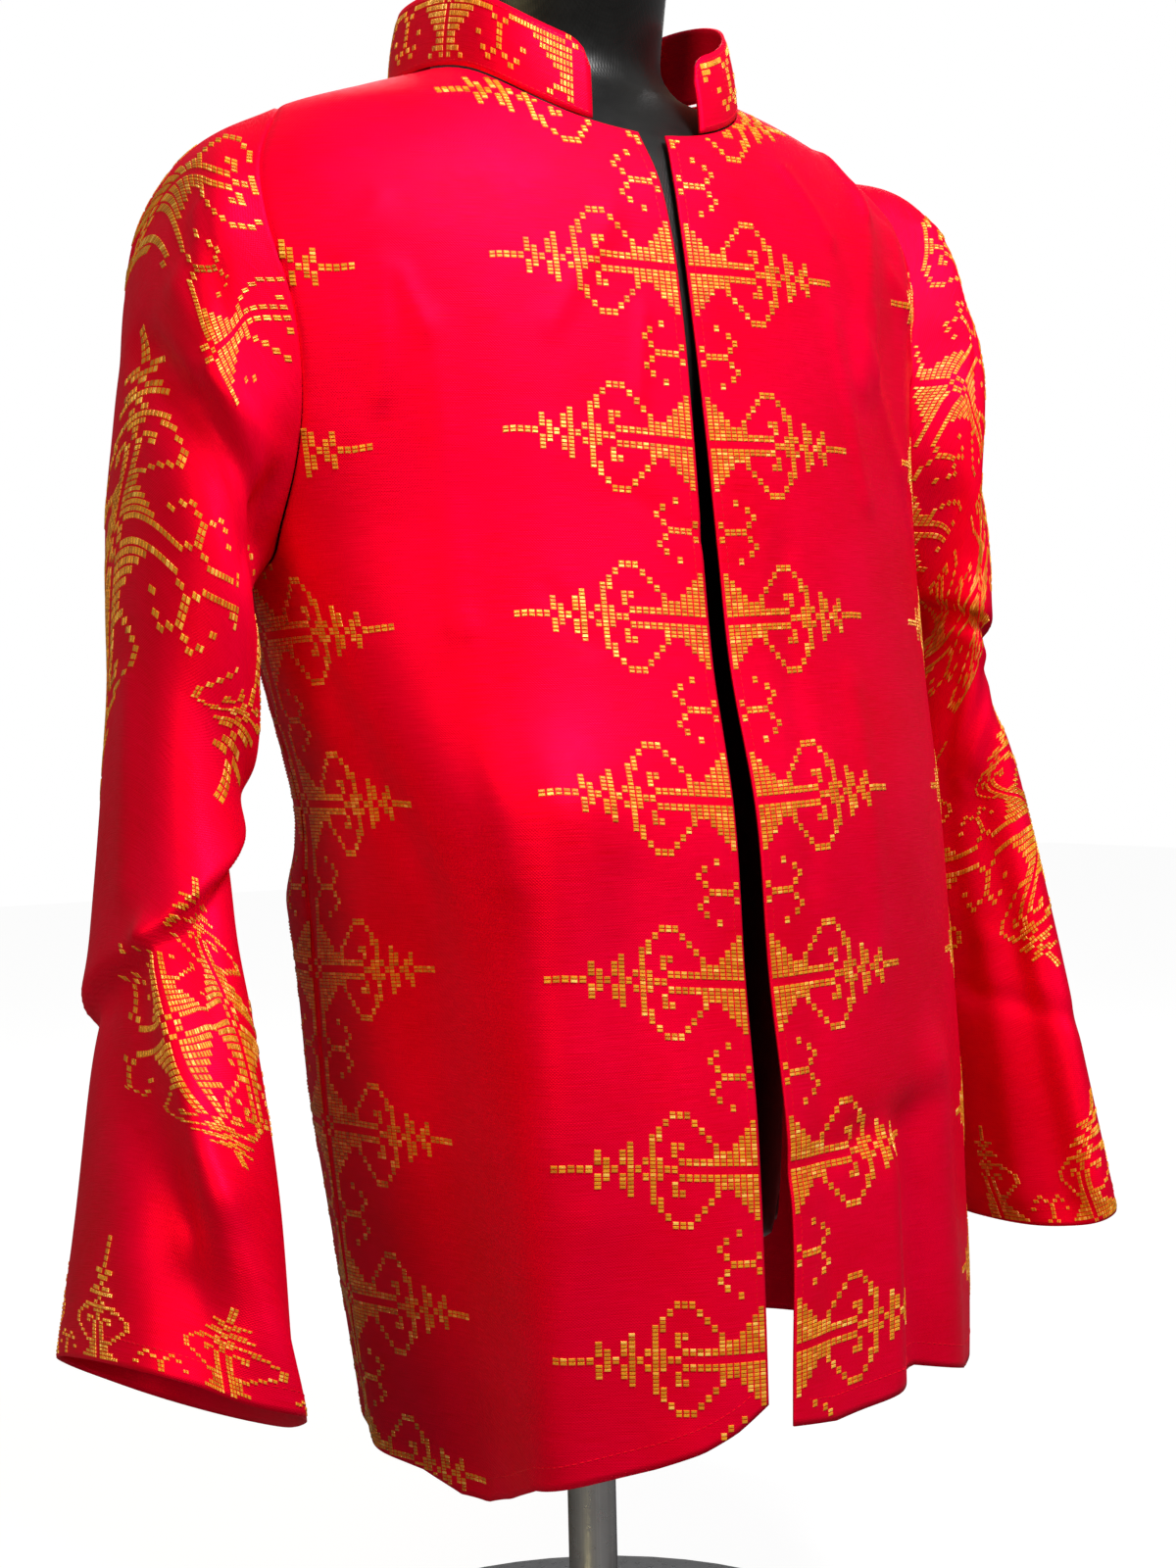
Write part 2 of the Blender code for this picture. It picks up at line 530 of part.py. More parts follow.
def sleeve_smooth(stations, side, loop, loop_base, turn, share):
    """Points of a sleeve without its folds. The loop is the armhole's points at the same turns."""
    station = at(stations, share)
    cosine, sine = np.cos(np.radians(turn)), np.sin(np.radians(turn))
    along = np.sign(cosine) * np.abs(cosine) ** (2 / SLEEVE_SQUARE)
    across = np.sign(sine) * np.abs(sine) ** (2 / SLEEVE_SQUARE)
    x = (station.out + station.inside) / 2 + (station.out - station.inside) / 2 * along
    z = (station.out_height + station.inside_height) / 2
    z = z + (station.out_height - station.inside_height) / 2 * along + station.front_up * across
    y = station.centre_y - station.half_width * across
    points = np.stack(np.broadcast_arrays(side * x, y, z), axis=-1)
    ease = np.clip(1 - share / CAP_SHARE, 0, 1) ** 2
    angles = np.linspace(0, 360, len(loop) + 1)
    shift = np.concatenate([loop - loop_base, (loop - loop_base)[:1]])
    moved = np.stack([np.interp(np.mod(turn, 360), angles, shift[:, axis]) for axis in range(3)], axis=-1)
    return points + moved * ease[..., None]


def sleeve_rise(folds, turn, height):
    """How far the folds lift a sleeve's cloth."""
    rise = np.zeros(turn.shape)
    for fold in folds:
        start = math.radians(fold.start_turn) * SLEEVE_RADIUS
        end = math.radians(fold.end_turn) * SLEEVE_RADIUS
        middle = (fold.start_turn + fold.end_turn) / 2
        near = np.mod(turn - middle + 180, 360) - 180 + middle
        away, above = from_line(
            np.radians(near) * SLEEVE_RADIUS, height, (start, fold.start_height), (end, fold.end_height)
        )
        if fold.lip:
            rise += fold.rise * np.tanh(above * away / LIP_EDGE) * np.exp(-away / fold.half_width)
        else:
            rise += fold.rise * np.exp(-((away / fold.half_width) ** 2))
    return rise


def sleeve(name, right, stations, folds, finish):
    """A sleeve from its armhole to the cuff, as a tube of rings."""
    side = -1 if right else 1
    ring_turn, ring_height = armhole_ring(right)
    loop, loop_normal = body_surface(ring_turn, ring_height)
    count = len(loop)
    turns = np.arange(count) * 360 / count
    zero = np.zeros(count)
    no_loop = np.zeros((count, 3))
    loop_base = sleeve_smooth(stations, side, no_loop, no_loop, turns, zero)

    def smooth(turn, share):
        return sleeve_smooth(stations, side, loop, loop_base, turn, share)

    def lifted(turn, share):
        base = smooth(turn, share)
        fade = np.clip(share / FOLD_FADE, 0, 1)
        rise = sleeve_rise(folds, turn, base[..., 2]) * fade
        return base - side * normals(smooth, turn, share, 2 * TURN_STEP, SHARE_STEP) * rise[..., None]

    share = np.linspace(0, 1, SLEEVE_ROWS + 1)
    turn_grid, share_grid = np.meshgrid(turns, share)
    outer = lifted(turn_grid, share_grid)
    normal = -side * normals(lifted, turn_grid, share_grid, 3 * TURN_STEP, 1.5 * SHARE_STEP)
    # The first ring lies off the panels' edge in their own plane, and below the arm just outside their cloth too.
    along = np.roll(loop, -1, axis=0) - np.roll(loop, 1, axis=0)
    away = -side * np.cross(along, loop_normal)
    away /= np.linalg.norm(away, axis=-1, keepdims=True)
    under = np.clip((180 - np.abs(turns - 180) - UNDERARM_START) / UNDERARM_BLEND, 0, 1)[:, None]
    facing = np.clip(np.sum(normal[0] * loop_normal, axis=-1, keepdims=True), 0, None)
    outer[0] = loop + SEAM / 2 * away + under * (SEAM + CLOTH * facing) * loop_normal
    towards = np.clip(np.sum(normal[0] * away, axis=-1, keepdims=True), 0, None)
    along /= np.linalg.norm(along, axis=-1, keepdims=True)
    normal[0] -= towards * away + np.sum(normal[0] * along, axis=-1, keepdims=True) * along
    normal[0] /= np.linalg.norm(normal[0], axis=-1, keepdims=True)
    order = slice(None) if right else slice(None, None, -1)
    return cloth_wall(name, [(outer[:, order], normal[:, order], True)], finish)


def collar(name, finish):
    """A stand collar on the neckline, from one front round the back to the other, its upper front corners rounded."""
    fine = np.linspace(-1, 1, 401)
    line = []
    for place in fine:
        right = place < 0
        far = 1 - abs(place)  # 0 at the front edges, 1 behind
        behind = abs(place) < 0.5
        part = 2 * abs(place) if behind else 2 * far
        line.append(neck_turn(min(part, 1.0), behind, right))
    turn, height = np.array(line).T
    base, normal = body_surface(turn, height)
    length = np.concatenate([[0], np.cumsum(np.linalg.norm(np.diff(base, axis=0), axis=1))])
    stops = np.linspace(COLLAR_SETBACK, length[-1] - COLLAR_SETBACK, COLLAR_COLUMNS + 1)
    base = np.stack([np.interp(stops, length, base[:, axis]) for axis in range(3)], axis=-1)
    outward = base * (1, 1, 0)
    outward /= np.linalg.norm(outward, axis=-1, keepdims=True)
    from_end = np.minimum(stops - stops[0], stops[-1] - stops)
    inset = np.clip(COLLAR_CORNER - from_end, 0, COLLAR_CORNER)
    top = COLLAR_HEIGHT - COLLAR_CORNER + np.sqrt(COLLAR_CORNER**2 - inset**2)
    rows = []
    for row in range(COLLAR_ROWS + 1):
        part = row / COLLAR_ROWS
        rise = (SEAM + CLOTH * 0.5) * (1 - part) + top * part
        lean = COLLAR_LEAN * part * rise / COLLAR_HEIGHT
        rows.append(base + rise[:, None] * np.array([0, 0, 1]) - lean[:, None] * outward)
    outer = np.array(rows)
    return cloth_wall(name, [(outer, np.broadcast_to(outward, outer.shape), False)], finish)


def ring_stack(name, rings, finish):
    """A closed solid through level rings of points, with a flat cap at each end."""
    rings = np.array(rings)
    count, sides = rings.shape[:2]
    faces = []
    for level in range(count - 1):
        for side in range(sides):
            after = (side + 1) % sides
            low, high = level * sides, (level + 1) * sides
            faces.append([low + side, low + after, high + after, high + side])
    faces.append(list(range(sides))[::-1])
    faces.append([(count - 1) * sides + side for side in range(sides)])
    return add_object(name, rings.reshape(-1, 3), faces, finish)


def form_ring(height):
    """Points of the form round a level section below the neck."""
    turn = np.arange(FORM_SIDES) * 360 / FORM_SIDES
    level = np.full(turn.shape, float(height))
    inset = CLOTH + REST + NECK_EASE * np.clip((height - EASE_FROM) / EASE_OVER, 0, 1)
    resting = smooth_cloth(turn, level) - inset * normals(smooth_cloth, turn, level, TURN_STEP, HEIGHT_STEP)
    resting[:, 0] = np.clip(resting[:, 0], -ARM_PLATE, ARM_PLATE)
    share = np.clip((height - FORM[-1].height) / (FORM_JOINS_CLOTH - FORM[-1].height), 0, 1)
    share = share * share * (3 - 2 * share)
    return plain_ring(at(FORM, height), height) * (1 - share) + resting * share


def plain_ring(section, height):
    """Points round an oval section of the form."""
    angle = np.radians(np.arange(FORM_SIDES) * 360 / FORM_SIDES)
    y = section.middle - np.where(np.cos(angle) > 0, section.front, section.back) * np.cos(angle)
    return np.stack([-section.half_width * np.sin(angle), y, np.full(FORM_SIDES, float(height))], axis=-1)


def dress_form(name, finish):
    """A smooth torso without limbs, from below the hips to a capped neck."""
    low, high = FORM[0].height, NECK_SIDE - 2 * MM
    part = np.linspace(0, 1, FORM_RINGS + 1)
    heights = low + (high - low) * (1 - (1 - part) ** 1.5)
    rings = [form_ring(height) for height in heights]
    rings += [plain_ring(section, section.height) for section in NECK]
    return ring_stack(name, [ring[::-1] for ring in rings], finish)


def cylinder(name, radius, low, high, finish):
    """An upright cylinder round the form's axis."""
    mesh = bpy.data.meshes.new(name)
    shape = bmesh.new()
    bmesh.ops.create_cone(
        shape, cap_ends=True, segments=ROUND_SIDES, radius1=radius, radius2=radius, depth=high - low
    )
    shape.to_mesh(mesh)
    shape.free()
    mesh.materials.append(finish)
    mesh.shade_smooth()
    mesh.set_sharp_from_angle(angle=math.radians(40))
    made = bpy.data.objects.new(name, mesh)
    made.location = (AXIS_X, AXIS_Y, (low + high) / 2)
    COLLECTION.objects.link(made)
    return made


for old in list(bpy.data.objects):
    bpy.data.objects.remove(old, do_unlink=True)
COLLECTION = bpy.data.collections.new("barong_on_form")
bpy.context.scene.collection.children.link(COLLECTION)

red_cloth = material("red_brocade", (0.62, 0.0, 0.03), 0.5)
black_cloth = material("black_jersey", (0.012, 0.012, 0.014), 0.35)
steel = material("brushed_steel", (0.6, 0.6, 0.6), 0.3, 1.0)

front_panel("front_right", True, red_cloth)
front_panel("front_left", False, red_cloth)
back_panel("back", red_cloth)
sleeve("sleeve_right", True, SLEEVE_RIGHT, RIGHT_FOLDS, red_cloth)
sleeve("sleeve_left", False, SLEEVE_LEFT, LEFT_FOLDS, red_cloth)
collar("collar", red_cloth)
dress_form("dress_form", black_cloth)

cylinder("stand_pole", POLE_RADIUS, BASE_THICK + SEAM, FORM[0].height - SEAM, steel)
base = cylinder("stand_base", BASE_RADIUS, 0, BASE_THICK, steel)
edge = base.modifiers.new("rounded_edge", "BEVEL")
edge.width = BASE_EDGE
edge.segments = 2
edge.limit_method = "ANGLE"
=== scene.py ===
"""Dresses the barong on its dress form: cloth panels, woven gold figures, stitching, jersey and steel.

Metres, +Z up, the jacket facing -Y with the wearer's right at -X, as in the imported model. The shapes of the
cloth are worked out in millimetres about the form's axis, and put in place in metres when their meshes are
made.
"""

import logging
import math
from collections.abc import Callable, Iterable, Sequence
from dataclasses import dataclass, field
from enum import Enum

import bmesh
import bpy
import numpy as np
from mathutils import Matrix, Vector

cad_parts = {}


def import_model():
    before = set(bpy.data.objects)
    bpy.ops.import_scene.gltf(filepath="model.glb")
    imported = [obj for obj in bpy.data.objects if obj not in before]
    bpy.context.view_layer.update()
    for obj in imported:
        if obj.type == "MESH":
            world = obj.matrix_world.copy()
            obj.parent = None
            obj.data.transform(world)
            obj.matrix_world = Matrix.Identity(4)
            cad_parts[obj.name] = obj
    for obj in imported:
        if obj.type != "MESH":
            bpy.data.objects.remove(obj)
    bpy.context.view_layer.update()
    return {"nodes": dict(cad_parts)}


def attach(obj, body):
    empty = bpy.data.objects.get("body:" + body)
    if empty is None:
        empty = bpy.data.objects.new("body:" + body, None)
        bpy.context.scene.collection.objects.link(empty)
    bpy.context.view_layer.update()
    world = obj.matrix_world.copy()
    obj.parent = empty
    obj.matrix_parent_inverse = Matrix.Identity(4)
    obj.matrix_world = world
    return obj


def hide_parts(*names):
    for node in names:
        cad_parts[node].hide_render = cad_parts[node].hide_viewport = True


LOG = logging.getLogger("barong")

MM = 0.001
AXIS = np.array([-8.0, 5.03, 0.0])  # the form's axis in the model, in mm

QUARTER = 292.0  # round the cloth from the front edge to the side seam
ARMPIT = 585.0  # heights of the body's corners
NECK_FRONT = 806.0
NECK_SIDE = 850.0
NECK_BACK = 851.0
SHOULDER_TIP = 820.0
ARMHOLE_RIGHT = 34.0  # how many degrees an armhole is hollowed in front, and behind
ARMHOLE_LEFT = 25.0
ARMHOLE_BACK = 24.0
CLOTH = 1.2  # its thickness
WELD = 0.02  # joins the places that two patches share
BACK_SQUARE = 2.25  # squareness of the back, as the fronts' in BODY
EDGE_MARGIN = 1.6  # from a gold thread's middle to the edge of its piece
SPAN_LEAST, SPAN_MOST = 0.35, 1.9  # a gold thread's length on the body against its length on the flat cloth
LAST_CELL = 1.0001  # keeps a place just inside a table's last cell
LEVEL = 1e-9  # the rise up to which a line counts as level

# height, half widths right and left, depths front and back, middle, squareness right and left, opening right
# and left
BODY = (
    (118, 94, 234, 170, 146, 0, 2.45, 1.75, 6.5, 7.0),
    (200, 107, 237, 170, 147, 0, 2.45, 1.75, 6.5, 9.0),
    (260, 116, 236, 168, 148, 0, 2.59, 1.75, 6.0, 12.5),
    (320, 125, 233, 164, 148, 0, 2.85, 1.80, 5.0, 12.5),
    (390, 131, 228, 156, 146, 0, 3.05, 1.85, 4.2, 10.0),
    (470, 144, 221, 150, 143, 0, 3.05, 1.90, 4.2, 8.5),
    (540, 164, 216, 134, 140, 0, 2.45, 1.95, 4.0, 6.5),
    (600, 180, 214, 126, 138, 0, 2.10, 1.95, 3.4, 6.0),
    (660, 198, 214, 119, 134, 0, 2.10, 1.95, 2.6, 5.0),
    (715, 214, 218, 112, 127, 0, 2.05, 1.95, 2.4, 3.5),
    (755, 221, 223, 105, 118, 0, 2.00, 1.95, 3.2, 3.2),
    (785, 208, 213, 97, 107, 1, 2.00, 1.95, 5.0, 5.0),
    (805, 186, 194, 89, 99, 3, 2.00, 2.00, 8.0, 8.0),
    (820, 163, 173, 83, 93, 6, 2.00, 2.00, 8.0, 8.0),
    (836, 119, 134, 78, 85, 13, 2.00, 2.00, 8.0, 8.0),
    (850, 80, 75, 72, 77, 20, 2.00, 2.00, 8.0, 8.0),
    (880, 75, 68, 69, 73, 21, 2.00, 2.00, 8.0, 8.0),
)
# share of the way round from the right front edge, height of the hem there
HEM = (
    (0.00, 190), (0.015, 179), (0.03, 171), (0.05, 164), (0.085, 154), (0.10, 150),
    (0.13, 132), (0.155, 121), (0.175, 120), (0.20, 128), (0.25, 132), (0.30, 137),
    (0.50, 148), (0.75, 158), (0.84, 164), (0.90, 181), (0.975, 174), (1.00, 177),
)  # fmt: skip

# Folds of the body: place round (negative on the wearer's left) and height of each end, rise, half width.
BODY_FOLDS = (
    (112, 130, 98, 470, 12, 27),
    (186, 130, 188, 400, -11, 40),
    (280, 130, 312, 430, 8, 28),
    (240, 600, 178, 440, -4, 18),
    (-118, 130, -114, 300, -9, 17),
    (-78, 130, -84, 280, 5, 20),
    (-158, 130, -146, 330, 6, 20),
    (-150, 790, -128, 690, 3, 11),
    (-188, 780, -176, 650, 3, 11),
    (330, 130, 336, 420, 9, 22),
    (384, 130, 376, 480, -9, 22),
    (430, 130, 424, 520, 10, 22),
    (480, 130, 470, 560, -8, 22),
    (-330, 130, -338, 400, 9, 24),
    (-384, 130, -380, 500, -9, 23),
    (-436, 130, -428, 540, 9, 22),
)

# Small creases of the cloth, as BODY_FOLDS.
BODY_CREASES = (
    (-86, 799, -109, 762, 1.8, 4),
    (-148, 819, -149, 782, 2.0, 4),
    (-174, 793, -221, 756, -1.8, 5),
    (-143, 725, -140, 693, 1.6, 4),
    (-169, 752, -216, 703, 1.8, 4),
    (151, 759, 173, 735, 1.6, 5),
    (146, 726, 137, 699, 1.6, 5),
    (134, 702, 129, 560, 1.6, 7),
    (-12, 296, -65, 308, -1.6, 9),
    (-65, 308, -140, 316, -1.8, 9),
    (-87, 309, -84, 186, 1.8, 6),
    (-38, 386, -35, 197, -1.4, 10),
    (67, 439, 49, 192, -1.4, 12),
    (154, 728, 160, 667, 1.4, 5),
    (-102, 719, -123, 626, 1.5, 6),
    (-130, 710, -186, 614, 1.4, 6),
    (25, 712, 32, 670, 1.2, 4),
    (45, 624, 0, 600, -1.2, 5),
    (36, 759, 76, 703, 1.4, 6),
    (129, 560, 119, 442, 1.3, 8),
    (86, 577, 70, 550, -1.1, 5),
    (-49, 599, -42, 434, -1.2, 8),
    (-92, 530, -93, 381, 1.3, 9),
    (90, 283, 111, 173, 1.5, 10),
)

# How far the weave lies above its even place, at heights (rows) and places round the body (columns).
DRIFT_HEIGHTS = (213, 300, 387, 474, 560, 647, 734)
DRIFT_ROUND = (-292, -97, 0, 97, 175, 292)
DRIFT = (
    (0, 7, 0, 5, 6, 2),
    (0, 2, 0, 10, 9, 8),
    (0, 2, 0, 10, 8, 3),
    (0, 4, 0, 7, 2.5, 2),
    (0, 5, 0, 5, -1, 0),
    (0, 3, 0, 5, -4, 0),
    (0, 3, 0, 1, -7, 0),
)
# Middle of the figures' band at each side seam: heights, and distances round on the right and the left.
SIDE_HEIGHTS = (390, 474, 560, 734)
SIDE_RIGHT = (291, 281, 268, 273)
SIDE_LEFT = (290, 282, 273, 273)

# Known places of the sleeves' figures: row and column of the weave from a figure's middle, then the distance
# round the arm and down it.
RIGHT_LIES = (
    (
        (0, 0, -28, 80), (24, 0, 76, 127), (0, -13, 60, 45), (24, -13, 139, 72), (12, -5, 65, 90),
    ),
    (
        (0, 0, -16, 248), (24, 0, 147, 208), (0, -30, -10, 141), (0, -22, 2, 173), (7, -13, 50, 197),
        (24, 30, 73, 336), (24, 24, 92, 294), (24, 13, 112, 265), (17, 13, 64, 293), (7, 13, 13, 308),
        (12, -5, 70, 220), (12, 5, 54, 266),
    ),
    (
        (0, 0, 60, 484), (0, 13, 80, 518), (0, 30, 95, 539), (-12, 5, 7, 521), (-24, 30, 16, 544),
        (-24, 0, -32, 473), (8, 0, 74, 468), (0, -13, 44, 452),
    ),
    (
        (0, 0, 84, 454), (0, -13, 67, 427), (0, -30, 63, 394), (0, 13, 102, 501), (-8, 0, 74, 468),
        (12, 0, 128, 440),
    ),
    (
        (0, -30, 16, 596), (0, -24, 14, 615), (0, -13, 16, 638), (24, -30, 98, 611), (24, -13, 96, 636),
        (12, -5, 66, 651),
    ),
)  # fmt: skip
LEFT_LIES = (
    ((0, 0, 144, 101), (0, -13, 150, 58)),
    ((0, 0, 147, 210), (0, -13, 160, 166)),
    (
        (12, -5, 107, 364), (12, 5, 107, 402), (24, -13, 94, 354), (24, -24, 76, 343), (24, 13, 87, 442),
        (24, 30, 78, 492), (0, 0, 152, 371), (0, 13, 160, 423), (24, 0, 68, 404),
    ),
    (
        (0, -30, 156, 579), (0, -13, 160, 623), (7, -13, 136, 620), (24, -30, 79, 574), (24, -13, 94, 621),
        (12, -5, 119, 644),
    ),
)  # fmt: skip
# What each of those bands shows: its number in the table above, its rows and its columns.
RIGHT_SHOWN = (
    (0, (-12, 12), (-30, 3)), (0, (12, 33), (-20, 1)), (1, (-36, 12), (-30, 30)), (1, (12.1, 40), (-9, 30)),
    (2, (-13, 8), (-14, 30)), (3, (-7.5, 60), (-30, 16)), (4, (-60, 60), (-30, 4)),
)  # fmt: skip
LEFT_SHOWN = (
    (0, (-60, 60), (-18, 14)), (1, (-60, 60), (-15, 18)), (2, (-60, 60), (-30, 30)), (3, (-60, 60), (-30, 4)),
)  # fmt: skip

# Small creases of the sleeves, as their folds.
RIGHT_CREASES = (
    (-7, 705, 139, 602, -3.0, 11, False),
    (11, 709, 110, 626, 2.6, 9, False),
    (46, 672, 138, 600, -2.4, 7, False),
    (61, 680, 117, 641, 2.0, 6, False),
    (34, 757, 59, 703, 1.6, 7, False),
    (33, 419, 68, 326, 3.0, 9, False),
    (68, 326, 109, 213, 3.0, 9, False),
    (-16, 376, 77, 258, -3.0, 14, False),
    (5, 536, 10, 443, 1.6, 12, False),
)
LEFT_CREASES = (
    (72, 529, 126, 474, 2.5, 9, False),
    (133, 530, 162, 360, -2.5, 10, False),
    (163, 355, 79, 340, -1.5, 7, False),
    (40, 792, 74, 734, 1.8, 6, False),
    (47, 781, 84, 706, -1.8, 7, False),
    (82, 496, 106, 362, 2.0, 10, False),
    (140, 384, 159, 238, 2.0, 9, False),
    (85, 548, 147, 564, 2.5, 7, False),
)

# Sleeve stations: share of the length, outer line (out, height), inner line (out, height), centre, half
# width, rise of the front line.
SLEEVE_RIGHT = (
    (0.00, 163, 820, 179, 585, 14, 54, 0),
    (0.06, 200, 800, 188, 573, 15, 60, 0),
    (0.13, 219, 762, 191, 560, 17, 65, 0),
    (0.21, 229, 711, 191, 545, 18, 68, 0),
    (0.31, 238, 645, 189, 519, 19, 69, 0),
    (0.40, 242, 584, 190, 492, 19, 61, 0),
    (0.46, 244, 545, 199, 478, 18, 53, 0),
    (0.54, 249, 492, 200, 452, 16, 56, 0),
    (0.62, 254, 440, 204, 413, 11, 63, 2),
    (0.72, 260, 382, 204, 366, 1, 73, 6),
    (0.86, 274, 302, 201, 284, -14, 82, 11),
    (1.00, 292, 228, 202, 182, -27, 88, 14),
)
SLEEVE_LEFT = (
    (0.00, 173, 820, 214, 585, 5, 56, 0),
    (0.06, 219, 817, 226, 572, 5, 61, 0),
    (0.13, 236, 781, 229, 559, 6, 67, 0),
    (0.21, 244, 728, 228, 545, 9, 71, 0),
    (0.31, 253, 662, 227, 520, 13, 72, 0),
    (0.41, 256, 592, 227, 490, 17, 70, 0),
    (0.47, 260, 553, 228, 473, 19, 68, 0),
    (0.57, 277, 490, 233, 438, 13, 68, 0),
    (0.70, 290, 406, 241, 385, 1, 69, 0),
    (0.85, 299, 320, 250, 306, -14, 72, -2),
    (1.00, 308, 240, 262, 220, -26, 75, 0),
)
# Folds of a sleeve: turn and height of each end, rise, half width, and whether it is a lip that overhangs.
RIGHT_FOLDS = (
    (-60, 372, 150, 470, 7, 24, True),
    (38, 405, 75, 307, 6, 15, False),
    (75, 307, 122, 190, 8, 16, False),
    (10, 385, 45, 290, -6, 17, False),
    (45, 290, 78, 200, -7, 18, False),
    (8, 700, 98, 598, -5, 14, False),
    (30, 722, 105, 640, 4, 14, False),
    (60, 722, 110, 680, -2.5, 16, False),
    (118, 650, 128, 580, -5, 15, False),
    (200, 560, 300, 660, -3, 19, False),
    (215, 470, 300, 400, -5, 14, False),
)
LEFT_FOLDS = (
    (15, 548, 150, 578, 4, 24, True),
    (35, 690, 110, 600, -4, 15, False),
    (55, 725, 112, 655, 3.5, 15, False),
    (70, 500, 95, 250, 5, 18, False),
    (120, 470, 130, 240, -5, 18, False),
    (200, 560, 285, 640, -2.5, 20, False),
    (230, 470, 300, 380, -5, 14, False),
)


class Side(Enum):
    """A side of the wearer, with its sign along X."""

    RIGHT = -1
    LEFT = 1

    @property
    def handed(self) -> int:
        """The sign of a distance round the body, which is positive on the wearer's right."""
        return -self.value

    def turned(self, turn: float) -> float:
        """A turn from the front towards this side, as a turn by way of the wearer's right."""
        return turn if self is Side.RIGHT else 360 - turn


class Way(Enum):
    """Which way a figure points across its band."""

    BOTH = 0
    ONWARDS = 1
    BACKWARDS = -1


def on_curves(rows: np.ndarray, place: np.ndarray) -> np.ndarray:
    """A table's columns at places, on smooth curves through its rows.

    Args:
        rows: the table, each row a place and its values.
        place: the places asked for, of any shape.

    Returns:
        The columns at each place, along a new last axis.
    """
    keys = rows[:, 0]
    slopes = np.gradient(rows, keys, axis=0)
    low = np.clip(np.searchsorted(keys, place, side="right") - 1, 0, len(keys) - 2)
    step = keys[low + 1] - keys[low]
    part = ((place - keys[low]) / step)[..., None]
    step = step[..., None]
    return (
        rows[low] * (1 + 2 * part) * (1 - part) ** 2
        + rows[low + 1] * part**2 * (3 - 2 * part)
        + slopes[low] * step * part * (1 - part) ** 2
        - slopes[low + 1] * step * part**2 * (1 - part)
    )


def between_cells(table: np.ndarray, row: np.ndarray, column: np.ndarray) -> np.ndarray:
    """Values of a table at fractional rows and columns, evenly between its four nearest cells.

    Args:
        table: the values.
        row: fractional rows.
        column: fractional columns.

    Returns:
        The values there.
    """
    row = np.clip(row, 0, table.shape[0] - LAST_CELL)
    column = np.clip(column, 0, table.shape[1] - LAST_CELL)
    r, c = row.astype(int), column.astype(int)
    fr, fc = row - r, column - c
    return (table[r, c] * (1 - fr) + table[r + 1, c] * fr) * (1 - fc) + (
        table[r, c + 1] * (1 - fr) + table[r + 1, c + 1] * fr
    ) * fc


def from_line(
    across: np.ndarray, up: np.ndarray, start: tuple[float, float], end: tuple[float, float]
) -> tuple[np.ndarray, np.ndarray]:
    """How far places lie from a stretch of a line, and how far above the whole line.

    Args:
        across: the places' first coordinate.
        up: and their second.
        start: the stretch's first end.
        end: and its second.

    Returns:
        The distances from the stretch, and the offsets from the line, negative below it.
    """
    line = np.array(end, float) - np.array(start, float)
    part = np.clip(((across - start[0]) * line[0] + (up - start[1]) * line[1]) / (line @ line), 0, 1)
    away = np.hypot(across - start[0] - part * line[0], up - start[1] - part * line[1])
    offset = ((up - start[1]) * line[0] - (across - start[0]) * line[1]) / np.linalg.norm(line)
    return away, offset


def unit_normals(
    surface: Callable[[np.ndarray, np.ndarray], np.ndarray],
    first: np.ndarray,
    second: np.ndarray,
    steps: tuple[float, float],
) -> np.ndarray:
    """Unit normals of a surface, from its points a step away each way.

    Args:
        surface: gives the points.
        first: first parameters.
        second: second parameters.
        steps: how far each parameter is moved, both ways.

    Returns:
        The normals.
    """
    along = surface(first + steps[0], second) - surface(first - steps[0], second)
    up = surface(first, second + steps[1]) - surface(first, second - steps[1])
    normal = np.cross(up, along)
    return normal / np.linalg.norm(normal, axis=-1, keepdims=True)


def run_along(points: np.ndarray, axis: int = 0) -> np.ndarray:
    """How far along their rows or columns some points lie, from 0 at the first."""
    steps = np.linalg.norm(np.diff(points, axis=axis), axis=-1)
    return np.insert(np.cumsum(steps, axis=axis), 0, 0.0, axis=axis)


